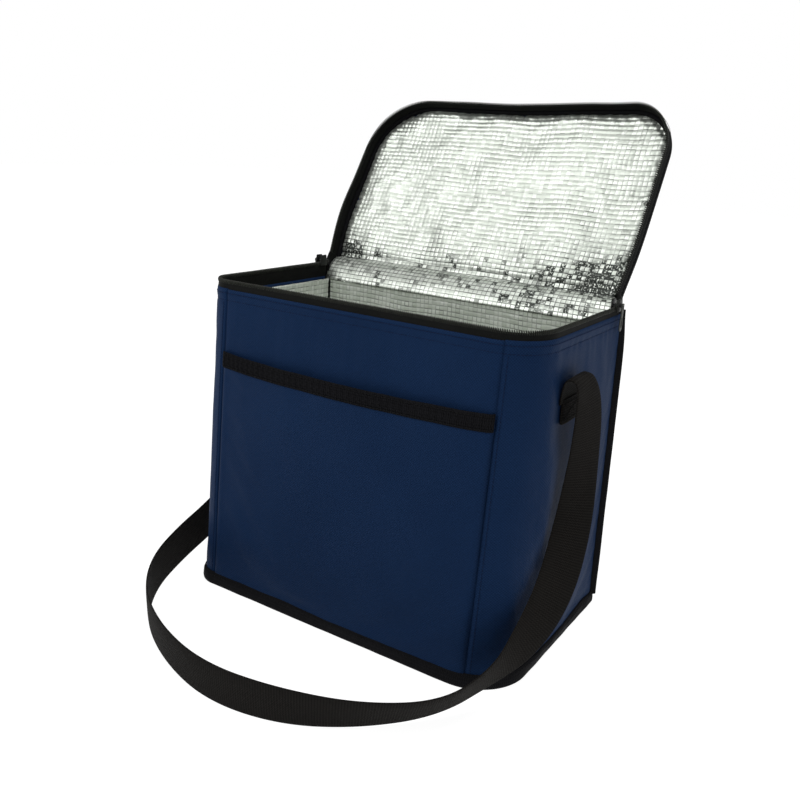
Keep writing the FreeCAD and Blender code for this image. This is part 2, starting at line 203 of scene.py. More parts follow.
ANCHOR_Y = -0.020
ANCHOR_Z = 0.205
ANCHOR_REACH = 0.032
ANCHORS = [(REAR_LOW + REAR_TOP) / 2 - ANCHOR_Y, REAR_RIGHT - (REAR_LOW + REAR_TOP) / 2 + ANCHOR_Y]


def crown(share):
    return math.sin(math.pi * min(max(share, 0), 1))


def swell(run, z):
    """How far the cloth stands out of the plan: soft panels, creases, seams and the hem."""
    run = run % GIRTH
    high = min(max(z / HEM, 0), 1)
    upright = crown(high) ** 0.7
    if run < LEFT_SEAM:
        lift = 0.0022 * crown(run / LEFT_SEAM)
    elif run < RIGHT_SEAM:
        lift = 0.0016 * crown((run - LEFT_SEAM) / (RIGHT_SEAM - LEFT_SEAM))
    elif run < REAR_RIGHT:
        lift = 0.0028 * crown((run - RIGHT_SEAM) / (REAR_RIGHT - RIGHT_SEAM))
    else:
        lift = 0.003 * crown((run - REAR_RIGHT) / BACK_RUN)
    angle = run / GIRTH * math.tau
    place = Vector((math.cos(angle) * 3.1, math.sin(angle) * 3.1, z * 22))
    lift += 0.0011 * (noise.noise(place) + 0.4 * noise.noise(place * 2.7))
    settled = relief("wall", run, z) * (0.35 if LEFT_SEAM < run < RIGHT_SEAM else 0.5)
    lift = lift * upright * (0.35 if "wall" in relief_of else 1) + settled
    lift += 0.0012 * bump(run - RIGHT_SEAM - 0.034 + 0.16 * z, 0.006) * bump(z - 0.08, 0.06)
    lift += 0.0009 * bump(run - RIGHT_SEAM - 0.058 + 0.10 * z, 0.008) * bump(z - 0.06, 0.05)
    for anchor in ANCHORS:
        near = min(abs(run - anchor), GIRTH) / ANCHOR_REACH
        lift *= 1 - 0.95 * math.exp(-near ** 4 - ((z - ANCHOR_Z) / ANCHOR_REACH) ** 4)
    for seam in (LEFT_SEAM, RIGHT_SEAM):
        beside = bump(run - seam - 0.0035, 0.0022) + bump(run - seam + 0.0035, 0.0022)
        lift += upright * 0.0007 * beside
        lift -= 0.0006 * bump(run - seam, 0.0013) * min(high * 8, 1)
    pucker = 0.00025 * math.sin(run * math.tau / 0.011 + 2 * noise.noise(place * 3))
    lift += (pucker - 0.0005) * bump(z - LINING_TOP, 0.0016)
    lift += 0.0004 * bump(z - HEM_FOLD, 0.003)
    return max(lift, -0.0005)


def wall(run, z, out=0.0, follow=1.0):
    """The point every layer starts from; `follow` says how much of the swell it takes."""
    point, facing = plan(run, z, out)
    return point + facing * swell(run, z) * follow


print("side swells by", round(swell(ROUND[0] / 2, 0.13) * 1000, 2), "mm")

# %% [markdown]
# ## Two helpers that make every piece
# A sheet of cloth is a flat grid whose points are moved to where they lie. `laid_grid` starts from
# Blender's own grid, keeps the flat place of each point as a UV map in metres, so a weave always has
# its true scale, and moves the points. A closed profile is the same grid with two edges merged.

# %% Grids that are laid in place
scene_collection = bpy.context.scene.collection


def spread(first, last, step):
    """Values from first to last, about one step apart."""
    count = max(1, round(abs(last - first) / step))
    return [first + (last - first) * index / count for index in range(count + 1)]


def object_from(bm, name):
    mesh = bpy.data.meshes.new(name)
    bm.to_mesh(mesh)
    bm.free()
    made = bpy.data.objects.new(name, mesh)
    scene_collection.objects.link(made)
    return made


def finish_piece(name, bm, material, body, node=None, thickness=0.0):
    piece = object_from(bm, name + "_dressed" if name in frame["nodes"] else name)
    for face in piece.data.polygons:
        face.use_smooth = True
    piece.data.materials.append(material)
    if thickness:
        wall_of_cloth = piece.modifiers.new("thickness", "SOLIDIFY")
        wall_of_cloth.thickness = thickness
        wall_of_cloth.offset = -1
    if body:
        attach(piece, body)
    if node:
        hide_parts(*([node] if isinstance(node, str) else node))
    return piece


def laid_grid(across, up, place, inside_out=False, closed=False, caps=False, uv=None, mark=None,
              outwards=False):
    """A grid laid in place; `mark` gives each point a value that the foil's material reads: how much painted
    shade and painted dark reflection the foil gets there.
    """
    bm = bmesh.new()
    crumple_shade_layer = bm.verts.layers.float.new("crumple_shade") if mark else None
    wide = len(across) - 1
    tall = len(up) - 1
    bmesh.ops.create_grid(bm, x_segments=wide, y_segments=tall, size=1)
    flat = {vert: (across[round((vert.co.x + 1) / 2 * wide)], up[round((vert.co.y + 1) / 2 * tall)])
            for vert in bm.verts}
    metres = bm.loops.layers.uv.new("metres")
    for face in bm.faces:
        for corner in face.loops:
            spot = flat[corner.vert]
            corner[metres].uv = uv(*spot) if uv else spot
    for vert, spot in flat.items():
        vert.co = place(*spot)
        if mark:
            vert[crumple_shade_layer] = mark(*spot)
    if closed:
        bmesh.ops.remove_doubles(bm, verts=bm.verts, dist=1e-6)
    if caps:
        bmesh.ops.holes_fill(bm, edges=bm.edges, sides=0)
    if inside_out:
        bmesh.ops.reverse_faces(bm, faces=bm.faces)
    if outwards:
        bmesh.ops.recalc_face_normals(bm, faces=bm.faces)
    return bm


print("helpers ready")

# %% [markdown]
# ## Materials
# Three effects come back on many pieces, so each is a node group: a plain weave, ribs across webbing,
# and a slow cloudy variation. A group only gives masks and heights; the shader itself stays in each
# material.

# %% Node group helpers
def node_group(name, inputs, outputs):
    group = bpy.data.node_groups.new(name, "ShaderNodeTree")
    for label, kind, value in inputs:
        socket = group.interface.new_socket(name=label, in_out="INPUT", socket_type=kind)
        if value is not None:
            socket.default_value = value
    for label in outputs:
        group.interface.new_socket(name=label, in_out="OUTPUT", socket_type="NodeSocketFloat")
    return group, group.nodes.new("NodeGroupInput"), group.nodes.new("NodeGroupOutput")


def link(tree, source, target):
    tree.links.new(source, target)


def number(tree, operation, first, second=0.0, third=None):
    node = tree.nodes.new("ShaderNodeMath")
    node.operation = operation
    for socket, value in zip(node.inputs, (first, second, third)):
        if value is None:
            continue
        if isinstance(value, (int, float)):
            socket.default_value = value
        else:
            link(tree, value, socket)
    return node.outputs[0]


def split(tree, vector):
    node = tree.nodes.new("ShaderNodeSeparateXYZ")
    link(tree, vector, node.inputs[0])
    return node.outputs


def noise_mask(tree, place, scale, detail=3):
    node = tree.nodes.new("ShaderNodeTexNoise")
    node.inputs["Scale"].default_value = scale
    node.inputs["Detail"].default_value = detail
    link(tree, place, node.inputs["Vector"])
    return node.outputs["Fac"]


def raised_by(tree, height, distance, strength, under=None):
    """The normal of a surface that a height raises, on top of another normal if one is given."""
    node = tree.nodes.new("ShaderNodeBump")
    node.inputs["Distance"].default_value = distance
    node.inputs["Strength"].default_value = strength
    link(tree, height, node.inputs["Height"])
    if under:
        link(tree, under, node.inputs["Normal"])
    return node.outputs["Normal"]


def new_material(name):
    material = bpy.data.materials.new(name)
    material.use_nodes = True
    return material, material.node_tree, material.node_tree.nodes["Principled BSDF"]


print("node helpers ready")

# %% [markdown]
# ### Weave
# Woven polyester shows rows of little pillows, every second one raised. Two sine waves multiplied
# give that checker of pillows; a little noise makes the yarn uneven.

# %% The weave group
def make_weave():
    group, given, result = node_group(
        "weave", [("Place", "NodeSocketVector", None), ("Pitch", "NodeSocketFloat", 0.0008)],
        ["Height", "Shade"])
    x, y, _ = split(group, given.outputs["Place"])
    turn = number(group, "DIVIDE", math.pi, given.outputs["Pitch"])
    across = number(group, "SINE", number(group, "MULTIPLY", x, turn))
    along = number(group, "SINE", number(group, "MULTIPLY", y, turn))
    pillows = number(group, "MULTIPLY", across, along)
    yarn = noise_mask(group, given.outputs["Place"], 900, 2)
    raised = number(group, "MULTIPLY_ADD", pillows, 0.5, 0.5)
    height = number(group, "ADD", raised, number(group, "MULTIPLY", yarn, 0.7))
    link(group, height, result.inputs["Height"])
    # Shade is painted shade: the sunken parts of the checker darker than the raised pillows, plus the yarn
    # noise as tone.
    shade = number(group, "MULTIPLY_ADD", raised, 0.5, number(group, "MULTIPLY", yarn, 0.6))
    link(group, shade, result.inputs["Shade"])
    return group


weave = make_weave()
print("group", weave.name)

# %% [markdown]
# ### Ribs
# Webbing and binding tape have ribs across them. Here the first coordinate runs along the tape. Each
# rib is cut by fine yarns.

# %% The ribs group
def make_ribs():
    group, given, result = node_group(
        "ribs", [("Place", "NodeSocketVector", None), ("Pitch", "NodeSocketFloat", 0.0016),
                 ("Yarn", "NodeSocketFloat", 0.0012)], ["Height", "Shade"])
    x, y, _ = split(group, given.outputs["Place"])
    along = number(group, "DIVIDE", x, given.outputs["Pitch"])
    across = number(group, "DIVIDE", y, given.outputs["Yarn"])
    shift = number(group, "MULTIPLY", number(group, "PINGPONG", across, 1.0), 0.5)
    rib = number(group, "SINE", number(group, "MULTIPLY", number(group, "ADD", along, shift), math.tau))
    yarn = number(group, "SINE", number(group, "MULTIPLY", across, math.tau))
    rib_height = number(group, "MULTIPLY_ADD", rib, 0.35, 0.5)
    height = number(group, "ADD", rib_height, number(group, "MULTIPLY", yarn, 0.15))
    fuzzy = number(group, "MULTIPLY_ADD", noise_mask(group, given.outputs["Place"], 500), 0.5, height)
    link(group, fuzzy, result.inputs["Height"])
    # Shade follows the height, so the grooves between ribs are painted darker: painted shade, with the noise
    # as yarn tone.
    link(group, number(group, "MULTIPLY", fuzzy, 0.75), result.inputs["Shade"])
    return group


ribs = make_ribs()
print("group", ribs.name)

# %% [markdown]
# ### Clouds
# Cloth is never one colour: handling, folds and dust make slow, faint patches. A large soft noise on
# the object's own coordinates gives them, and they match from one piece to the next.

# %% The clouds group
def make_clouds():
    group, given, result = node_group(
        "clouds", [("Scale", "NodeSocketFloat", 9.0), ("Strength", "NodeSocketFloat", 1.0)], ["Mask"])
    where = group.nodes.new("ShaderNodeTexCoord")
    soft = group.nodes.new("ShaderNodeTexNoise")
    soft.inputs["Detail"].default_value = 4
    soft.inputs["Roughness"].default_value = 0.55
    link(group, where.outputs["Object"], soft.inputs["Vector"])
    link(group, given.outputs["Scale"], soft.inputs["Scale"])
    centred = number(group, "SUBTRACT", soft.outputs["Fac"], 0.5)
    link(group, number(group, "MULTIPLY_ADD", centred, given.outputs["Strength"], 0.5), result.inputs["Mask"])
    return group


clouds = make_clouds()
print("group", clouds.name)

# %% [markdown]
# ### Putting a material together
# Every cloth material is made the same way: the pattern's painted shade mixes two colours, darker in its
# low parts, clouds shift them, and the pattern's height goes through a Bump node. Only the colours,
# pitch and gloss differ.

# %% Cloth materials
def colour(red, green, blue):
    """A colour as a picture editor writes it, from 0 to 255, made linear for the shader."""
    return tuple((value / 255 / 12.92) if value < 10.3 else ((value / 255 + 0.055) / 1.055) ** 2.4
                 for value in (red, green, blue)) + (1.0,)


def mix_colours(tree, mask, low, high):
    node = tree.nodes.new("ShaderNodeMix")
    node.data_type = "RGBA"
    link(tree, mask, node.inputs["Factor"])
    for socket, value in ((node.inputs["A"], low), (node.inputs["B"], high)):
        if isinstance(value, tuple):
            socket.default_value = value
        else:
            link(tree, value, socket)
    return node.outputs["Result"]


def place_group(tree, group, **values):
    node = tree.nodes.new("ShaderNodeGroup")
    node.node_tree = group
    for label, value in values.items():
        node.inputs[label].default_value = value
    return node


def flat_place(tree):
    node = tree.nodes.new("ShaderNodeUVMap")
    node.uv_map = "metres"
    return node.outputs["UV"]


def cloth_material(name, dark, light, pattern, pitch, bump_depth, rough, gloss, tint=(1, 1, 1, 1)):
    material, tree, shader = new_material(name)
    woven = place_group(tree, pattern, Pitch=pitch)
    link(tree, flat_place(tree), woven.inputs["Place"])
    patches = place_group(tree, clouds, Scale=11.0, Strength=0.5)
    # Colour: the pattern's Shade, its low parts painted darker (painted shade), plus slow cloudy tone.
    both = number(tree, "ADD", woven.outputs["Shade"], number(tree, "SUBTRACT", patches.outputs["Mask"], 0.5))
    link(tree, mix_colours(tree, both, colour(*dark), colour(*light)), shader.inputs["Base Color"])
    link(tree, number(tree, "MULTIPLY_ADD", both, -0.12, rough), shader.inputs["Roughness"])
    handled = place_group(tree, clouds, Scale=75.0, Strength=1.0)
    soft_folds = raised_by(tree, handled.outputs["Mask"], 0.0015, 0.25)
    link(tree, raised_by(tree, woven.outputs["Height"], bump_depth, 0.6, soft_folds), shader.inputs["Normal"])
    shader.inputs["Sheen Weight"].default_value = 0.004
    shader.inputs["Specular Tint"].default_value = tint
    shader.inputs["Specular IOR Level"].default_value = gloss
    return material


navy = cloth_material("navy polyester", (13, 29, 56), (31, 54, 90), weave, 0.0010, 0.00022, 0.66, 0.07,
                      tint=(0.25, 0.5, 1, 1))
webbing = cloth_material("black webbing", (0, 0, 0), (42, 40, 38), ribs, 0.0019, 0.0005, 0.8, 0.04)
binding = cloth_material("black binding tape", (3, 3, 4), (30, 30, 33), ribs, 0.0013, 0.00025, 0.8, 0.05)
tape = cloth_material("zipper tape", (4, 4, 4), (30, 31, 30), weave, 0.0007, 0.00015, 0.75, 0.06)
print("cloth materials", navy.name, webbing.name, binding.name, tape.name)

# %% [markdown]
# ### Foil
# The lining is aluminised film over foam, embossed in small squares. The squares are real geometry on
# the grids below, so the material only needs a bright metal whose gloss varies, with fine crinkles,
# and painted shade and painted dark reflections in its colour: dark dashes in the grooves, whole squares
# darkened where the film is crinkled, and some squares painted brighter as highlights.

# %% Foil material
FOIL_PITCH = 0.0042


def steps_near(tree, value, low, high):
    """0 below low, 1 above high, smooth between."""
    node = tree.nodes.new("ShaderNodeMapRange")
    node.interpolation_type = "SMOOTHSTEP"
    node.inputs["From Min"].default_value = low
    node.inputs["From Max"].default_value = high
    link(tree, value, node.inputs["Value"])
    return node.outputs["Result"]


def foil_material(name, metallic, square_colour, glint_colour):
    material, tree, shader = new_material(name)
    place = flat_place(tree)
    x, y, _ = split(tree, place)
    column = number(tree, "DIVIDE", x, FOIL_PITCH)
    row = number(tree, "DIVIDE", y, FOIL_PITCH)
    joined = tree.nodes.new("ShaderNodeCombineXYZ")
    link(tree, number(tree, "FLOOR", column), joined.inputs[0])
    link(tree, number(tree, "FLOOR", row), joined.inputs[1])
    chance = tree.nodes.new("ShaderNodeTexWhiteNoise")
    chance.noise_dimensions = "2D"
    link(tree, joined.outputs[0], chance.inputs["Vector"])
    luck = split(tree, chance.outputs["Color"])
    off_row = steps_near(tree, number(tree, "PINGPONG", row, 0.5), 0.04, 0.17)
    off_column = steps_near(tree, number(tree, "PINGPONG", column, 0.5), 0.04, 0.15)
    low_line = number(tree, "SUBTRACT", 1.0, off_row)
    side_line = number(tree, "SUBTRACT", 1.0, off_column)
    crumple_shade = tree.nodes.new("ShaderNodeAttribute")
    crumple_shade.attribute_name = "crumple_shade"
    patches = place_group(tree, clouds, Scale=24.0, Strength=1.4)
    # How much painted shade and painted dark reflection each spot gets: the per-point mask plus cloudy
    # patches.
    painted_shade_amount = number(tree, "ADD", crumple_shade.outputs["Fac"], number(tree, "SUBTRACT", patches.outputs["Mask"], 0.5))
    speckle = noise_mask(tree, place, 520)

    def line_shade(line, luck_of_line, share, least):
        strength = number(tree, "MULTIPLY_ADD", painted_shade_amount, share, luck_of_line)
        return number(tree, "MULTIPLY", line, number(tree, "MAXIMUM", strength, least))

    # Painted shade and painted dark reflections: dark dashes in the grooves between rows, fainter ticks
    # between columns.
    dash = line_shade(low_line, number(tree, "MULTIPLY_ADD", luck[0], 0.6, -0.05), 0.7, 0.20)
    tick = line_shade(side_line, number(tree, "MULTIPLY_ADD", luck[1], 0.7, -0.45), 0.9, 0.02)
    # Painted shade in whole squares: some squares go dark where the mask is high, broken up by speckle.
    blotch_chance = number(tree, "MULTIPLY_ADD", painted_shade_amount, 0.8, number(tree, "MULTIPLY_ADD", luck[2], -0.8, -0.38))
    blotch_shade = steps_near(tree, blotch_chance, -0.1, 0.25)
    deep = number(tree, "MULTIPLY", blotch_shade, steps_near(tree, speckle, 0.36, 0.5))
    dark = number(tree, "MINIMUM", number(tree, "MAXIMUM", number(tree, "MAXIMUM", dash, tick), deep), 1.0)
    # Each square's tone is picked at random between two colours: random tone, with painted highlights on the
    # brighter squares.
    bright = mix_colours(tree, steps_near(tree, luck[1], 0.1, 0.9), colour(*square_colour), colour(*glint_colour))
    # The dark colour is the painted shade and painted dark reflection.
    link(tree, mix_colours(tree, dark, bright, colour(34, 38, 34)), shader.inputs["Base Color"])
    link(tree, number(tree, "MULTIPLY_ADD", speckle, 0.25, 0.22), shader.inputs["Roughness"])
    shader.inputs["Metallic"].default_value = metallic
    link(tree, raised_by(tree, speckle, 0.00025, 0.5), shader.inputs["Normal"])
    return material


# The walls' copy is painted lighter and has less metal, so the foil inside the bag, which lies in shade,
# still renders bright: painted light.
foil = foil_material("embossed foil", 0.62, (192, 198, 189), (218, 223, 215))
wall_foil = foil_material("duller foil painted lighter for the shaded walls", 0.30, (222, 228, 218), (242, 246, 239))
print("foil squares", FOIL_PITCH * 1000, "mm")

# %% [markdown]
# ### Plain hard materials
# The coil, the sliders and the hidden foam and board need less, but still vary in gloss and colour.

# %% Plain materials
def plain_material(name, dark, light, rough, metallic=0.0, grain=260.0, depth=0.0001):
    material, tree, shader = new_material(name)
    speck = noise_mask(tree, tree.nodes.new("ShaderNodeTexCoord").outputs["Object"], grain)
    link(tree, mix_colours(tree, speck, colour(*dark), colour(*light)), shader.inputs["Base Color"])
    link(tree, number(tree, "MULTIPLY_ADD", speck, 0.2, rough), shader.inputs["Roughness"])
    shader.inputs["Metallic"].default_value = metallic
    shader.inputs["Specular IOR Level"].default_value = 0.15
    link(tree, raised_by(tree, speck, depth, 0.4), shader.inputs["Normal"])
    return material


coil_nylon = plain_material("black nylon coil", (18, 19, 17), (58, 60, 54), 0.3)
pull_metal = plain_material("grey painted metal", (54, 56, 53), (98, 100, 96), 0.35, metallic=0.4)
zip_metal = plain_material("dark painted metal", (24, 25, 24), (56, 57, 55), 0.3, metallic=0.5)
foam_white = plain_material("white foam", (205, 206, 200), (240, 240, 236), 0.8, grain=700, depth=0.0004)
board_grey = plain_material("grey board", (120, 116, 108), (160, 156, 146), 0.8)
thread_black = plain_material("black thread", (8, 8, 9), (30, 30, 31), 0.8)
thread_navy = plain_material("navy thread", (8, 18, 42), (20, 36, 72), 0.8)
print("plain materials ready")

# %% [markdown]
# ## Letting the cloth settle
# The gussets and panels are slack sheets over foam, and slack cloth buckles in ways that are tiresome
# to draw. So a coarse copy of the wall is pinned along its seams, cut a touch too large, blown out a
# little and left to settle as cloth. Only how far each point stands out is kept, as a table that every
# layer reads.

# %% Cloth that settles
def settle(name, columns, rows, place, facing, pinned, grow, pressure, frames, limit):
    """Runs one pinned sheet as cloth and keeps its relief."""
    sheet = object_from(laid_grid(columns, rows, place), "slack sheet")
    sheet_mesh = sheet.data
    spots = {}
    flat = sheet_mesh.uv_layers["metres"].data
    for loop in sheet_mesh.loops:
        spots[loop.vertex_index] = flat[loop.index].uv.copy()
    pins = sheet.vertex_groups.new(name="pins")
    for index, spot in spots.items():
        pins.add([index], pinned(spot.x, spot.y), "REPLACE")
    cloth = sheet.modifiers.new("cloth", "CLOTH")
    for setting, value in (("vertex_group_mass", "pins"), ("quality", 6), ("mass", 0.15),
                           ("tension_stiffness", 12), ("compression_stiffness", 12),
                           ("shear_stiffness", 6), ("bending_stiffness", 0.25), ("shrink_min", -grow),
                           ("use_pressure", True), ("uniform_pressure_force", pressure)):
        setattr(cloth.settings, setting, value)
    cloth.settings.effector_weights.gravity = 0.35
    cloth.collision_settings.use_collision = False
    cloth.point_cache.frame_start = 1
    cloth.point_cache.frame_end = frames
    for step in range(1, frames + 1):
        bpy.context.scene.frame_set(step)
    settled = sheet.evaluated_get(bpy.context.evaluated_depsgraph_get()).to_mesh()
    heights = [[0.0] * len(rows) for _ in columns]
    for index, spot in spots.items():
        i = round((spot.x - columns[0]) / (columns[-1] - columns[0]) * (len(columns) - 1))
        j = round((spot.y - rows[0]) / (rows[-1] - rows[0]) * (len(rows) - 1))
        moved = settled.vertices[index].co - sheet_mesh.vertices[index].co
        heights[i][j] = min(max(moved.dot(facing(spot.x, spot.y)), -limit / 4), limit)
    bpy.context.scene.frame_set(1)
    bpy.data.objects.remove(sheet)
    bpy.data.meshes.remove(sheet_mesh)
    relief_of[name] = (columns, rows, heights)
    tallest = max(max(line) for line in heights)
    print(name, "settled, standing out up to", round(tallest * 1000, 2), "mm")


def wall_pins(run, z):
    away = min(abs(run - seam) for seam in (0, LEFT_SEAM, RIGHT_SEAM, REAR_RIGHT, GIRTH))
    low_high = min(z - 0.004, HEM - 0.008 - z)
    return 1.0 if away < 0.004 or low_high < 0.002 else 0.0


settle("wall", spread(0, GIRTH, 0.0055), spread(0.004, HEM, 0.0055), lambda run, z: plan(run, z, 0)[0],
       lambda run, z: plan(run, z, 0)[1], wall_pins, grow=0.012, pressure=2.0, frames=22, limit=0.0045)


# %% [markdown]
# ## The outer cloth
# Three panels of navy polyester make the walls you see first: the front panel and two gussets that
# wrap the front corners. They could be one sheet, but the real bag is sewn from panels, and the two
# seams on the front are where they meet.

# %% Outer panels
def panel(name, start, end, low, high, material, out=0.0, step=0.004, node=None, thickness=CLOTH, **options):
    bm = laid_grid(spread(start, end, step), spread(low, high, step),
                   lambda run, z: wall(run, z, out), **options)
    return finish_piece(name, bm, material, "bag", node or name, thickness)


SKIN_LOW = 0.0045
panel("front_panel", LEFT_SEAM, RIGHT_SEAM, SKIN_LOW, HEM, navy, step=0.0024)
panel("left_gusset", 0.0, LEFT_SEAM, SKIN_LOW, HEM + 0.0006, navy, step=0.0024)
panel("right_gusset", RIGHT_SEAM, REAR_RIGHT, SKIN_LOW, HEM + 0.0006, navy, step=0.0024)
panel("back_panel", REAR_RIGHT, GIRTH - 0.0001, SKIN_LOW, 0.2505, navy, step=0.0036)
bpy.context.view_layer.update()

# %% [markdown]
# The base is one panel on the floor. It starts from a plain grid, and each point is pulled from a
# square onto the bag's plan, so its edge runs under the binding all the way round.

# %% Base panel
def onto_corner(px, py, half, long, bend):
    """Pulls a grid point beyond a round corner onto that corner's circles."""
    if abs(px) > half - bend and py > long - bend:
        away = Vector((abs(px) - half + bend, py - long + bend))
        away *= max(away.x, away.y) / away.length
        px = math.copysign(half - bend + away.x, px)
        py = long - bend + away.y
    return px, py


def base_place(level, inset):
    def place(x, y):
        half = HALF_LOW - inset
        front = FRONT_LOW - inset
        bend = (BEND_LEFT if x < 0 else BEND_RIGHT + BEND_LOOSER) - inset
        px, py = x * half, y * (front if y < 0 else REAR_LOW - inset)
        if y < 0:
            px, back = onto_corner(px, -py, half, front, bend)
            py = -back
        return Vector((px, py, level(px, py)))
    return place


def floor_level(x, y):
    """The base stands on its edge and arches a little in the middle."""
    return 0.0012 + 0.0012 * crown((x + HALF_LOW) / (2 * HALF_LOW)) * crown((y + FRONT_LOW) / 0.175)


def foil_flat(x, y):
    """Foil is never laid quite straight, so its rows of squares wander."""
    place = Vector((x * 22, y * 22, 4.2))
    return x + 0.0016 * noise.noise(place), y + 0.0016 * noise.noise(place + Vector((5, 9, 2)))


def base_grid(level, inset, step, inside_out):
    place = base_place(level, inset)
    # The base's foil gets a fixed 0.3 of painted shade and painted dark reflection.
    return laid_grid(spread(-1, 1, step / HALF_LOW), spread(-1, 1, step / FRONT_LOW), place,
                     inside_out=inside_out, mark=lambda x, y: 0.3,
                     uv=lambda x, y: foil_flat(x * HALF_LOW, y * FRONT_LOW))


finish_piece("base_panel", base_grid(floor_level, 0.0006, 0.004, True), navy, "bag", "base_panel", CLOTH)
print("base panel laid")

# %% [markdown]
# ## The foil lining
# The lining is foil on thin foam. On the real bag a roller presses small squares into it. A bump
# texture could fake them, but the light on foil shows the truth, so each square is a small pillow of
# the grid, three or four steps wide.

# %% Foil grids
FOIL_THICK = 0.0003


def emboss(x, y):
    x, y = foil_flat(x, y)
    across = 0.35 + 0.65 * abs(math.sin(math.pi * x / FOIL_PITCH))
    along = abs(math.sin(math.pi * y / FOIL_PITCH))
    return (across * along) ** 0.5


def foil_wave(x, y, seed=0.0):
    place = Vector((x * 26, y * 26, seed))
    slow = noise.noise(place)
    fold = abs(noise.noise(place * 1.9 + Vector((7, 3, 1))))
    return 0.0012 * slow + 0.0010 * (0.35 - fold)


def lining(name, start, end, low=0.0078, high=LINING_TOP, inset=0.0054, seed=0.0, crumple_shade=0.25):
    def place(run, z):
        press = 0.0007 * emboss(run, z) + max(foil_wave(run, z, seed), -0.0002)
        return wall(run, z, -inset - press, follow=0.5)
    step = FOIL_PITCH / 3.5
    bm = laid_grid(spread(start, end, step), spread(low, high, step), place, inside_out=True,
                   uv=foil_flat, mark=lambda run, z: crumple_shade)
    return finish_piece(name, bm, wall_foil, "bag", name, FOIL_THICK)


# Each wall's foil gets 0.25 of painted shade and painted dark reflection in its squares; the back wall,
# deeper in shade, gets 0.35.
lining("left_liner", 0.0003, LEFT_SEAM, seed=1.3)
lining("front_liner", LEFT_SEAM, RIGHT_SEAM, seed=4.1)
lining("right_liner", RIGHT_SEAM, REAR_RIGHT - 0.0003, seed=7.7)
lining("back_liner", REAR_RIGHT + 0.0003, GIRTH - 0.0003, seed=2.9, crumple_shade=0.35)


def inner_seam(name, run):
    """The lining's corner seam is a thin dark ridge where two raw edges meet."""
    def place(turn, z):
        point, facing = plan(run, z, -0.0060)
        angle = math.tau * turn
        side = facing.cross(Vector((0, 0, 1)))
        return point + facing * 0.0013 * math.cos(angle) + side * 0.0009 * math.sin(angle)

    bm = laid_grid(spread(0, 1, 1 / 8), spread(0.008, LINING_TOP, 0.004), place, closed=True, caps=True,
                   outwards=True, uv=lambda turn, z: (z, turn * 0.01))
    return finish_piece(name, bm, binding, "bag")


inner_seam("inner_left_seam", 0.0)
inner_seam("inner_right_seam", REAR_RIGHT)


def base_foil_level(x, y):
    return 0.0076 + 0.0005 * emboss(x, y) + max(foil_wave(x, y, 9.0), 0)


base_foil = base_grid(base_foil_level, 0.0056, FOIL_PITCH / 3, False)
finish_piece("base_liner", base_foil, wall_foil, "bag", "base_liner", FOIL_THICK)
print("foil squares across the back", round(BACK_RUN / FOIL_PITCH))

# %% [markdown]
# ## The front pocket
# A flat pocket is one more sheet sewn into the two front seams and the bottom edge, held by webbing
# along its mouth. It stands off the front most at the mouth's middle, where a hand goes in.

# %% Pocket
POCKET_LOW = 0.0085
POCKET_TOP = 0.1925
TRIM_LOW = 0.1905
TRIM_TOP = 0.2030


def pocket_gap(run, z):
    """How far the pocket stands off the front: nothing at its seams, most at the mouth's middle."""
    share = (run - LEFT_SEAM) / (RIGHT_SEAM - LEFT_SEAM)
    high = (z - POCKET_LOW) / (TRIM_TOP - POCKET_LOW)
    lean = 0.0042 * min(high * 1.4, 1) ** 0.8 + 0.0012 * max(high - 0.85, 0) / 0.15
    ease = 0.0006 * noise.noise(Vector((run * 24, z * 17, 3.3)))
    return 0.0009 + (lean + ease) * crown(share) ** 0.55


def pocket_sag(run):
    """The mouth hangs a little lower in its middle."""
    return -0.0022 * crown((run - LEFT_SEAM) / (RIGHT_SEAM - LEFT_SEAM))


def pocket_place(run, z, out=0.0):
    high = (z - POCKET_LOW) / (TRIM_TOP - POCKET_LOW)
    return wall(run, z + pocket_sag(run) * high ** 3, pocket_gap(run, z) + out)


POCKET_START = LEFT_SEAM + 0.0006
POCKET_END = RIGHT_SEAM - 0.0006
bm = laid_grid(spread(POCKET_START, POCKET_END, 0.0024), spread(POCKET_LOW, POCKET_TOP, 0.0024), pocket_place)
pocket = finish_piece("front_pocket", bm, navy, "bag", "front_pocket", CLOTH)
print("pocket", round((POCKET_END - POCKET_START) * 1000), "by", round((TRIM_TOP - POCKET_LOW) * 1000), "mm")

# %% [markdown]
# ### Webbing round the mouth
# The webbing is folded over the pocket's raw edge. Its ribs are wide enough to catch the light, so
# they are modelled: the profile is a flat loop, and a fine wave along it makes the ribs.

# %% Pocket trim
RIB = 0.0017


def trim_place(run, turn):
    """turn goes round the folded webbing: outer face up, over the edge, inner face down."""
    angle = math.tau * turn
    tall = (TRIM_TOP - TRIM_LOW) / 2
    z = (TRIM_TOP + TRIM_LOW) / 2 + tall * max(-1, min(1, 1.25 * math.sin(angle)))
    rib = 0.00032 * math.sin(run * math.tau / RIB) * abs(math.cos(angle)) ** 0.3
    thick = 0.0004 + 0.0010 * math.cos(angle) + (rib if math.cos(angle) > 0 else 0)
    return pocket_place(run, z, thick)


bm = laid_grid(spread(POCKET_START - 0.0004, POCKET_END + 0.0004, RIB / 4), spread(0, 1, 1 / 18), trim_place,
               closed=True, caps=True, uv=lambda run, turn: (run, turn * 0.026))
finish_piece("pocket_trim", bm, binding, "bag", "pocket_trim")
print("trim ribs", round((POCKET_END - POCKET_START) / RIB))

# %% [markdown]
# ## Bound edges
# The bottom seam and the two rear corners are raw edges wrapped in folded tape. Each is a small loop
# of profile swept along the seam, the same grid helper with its two edges merged.

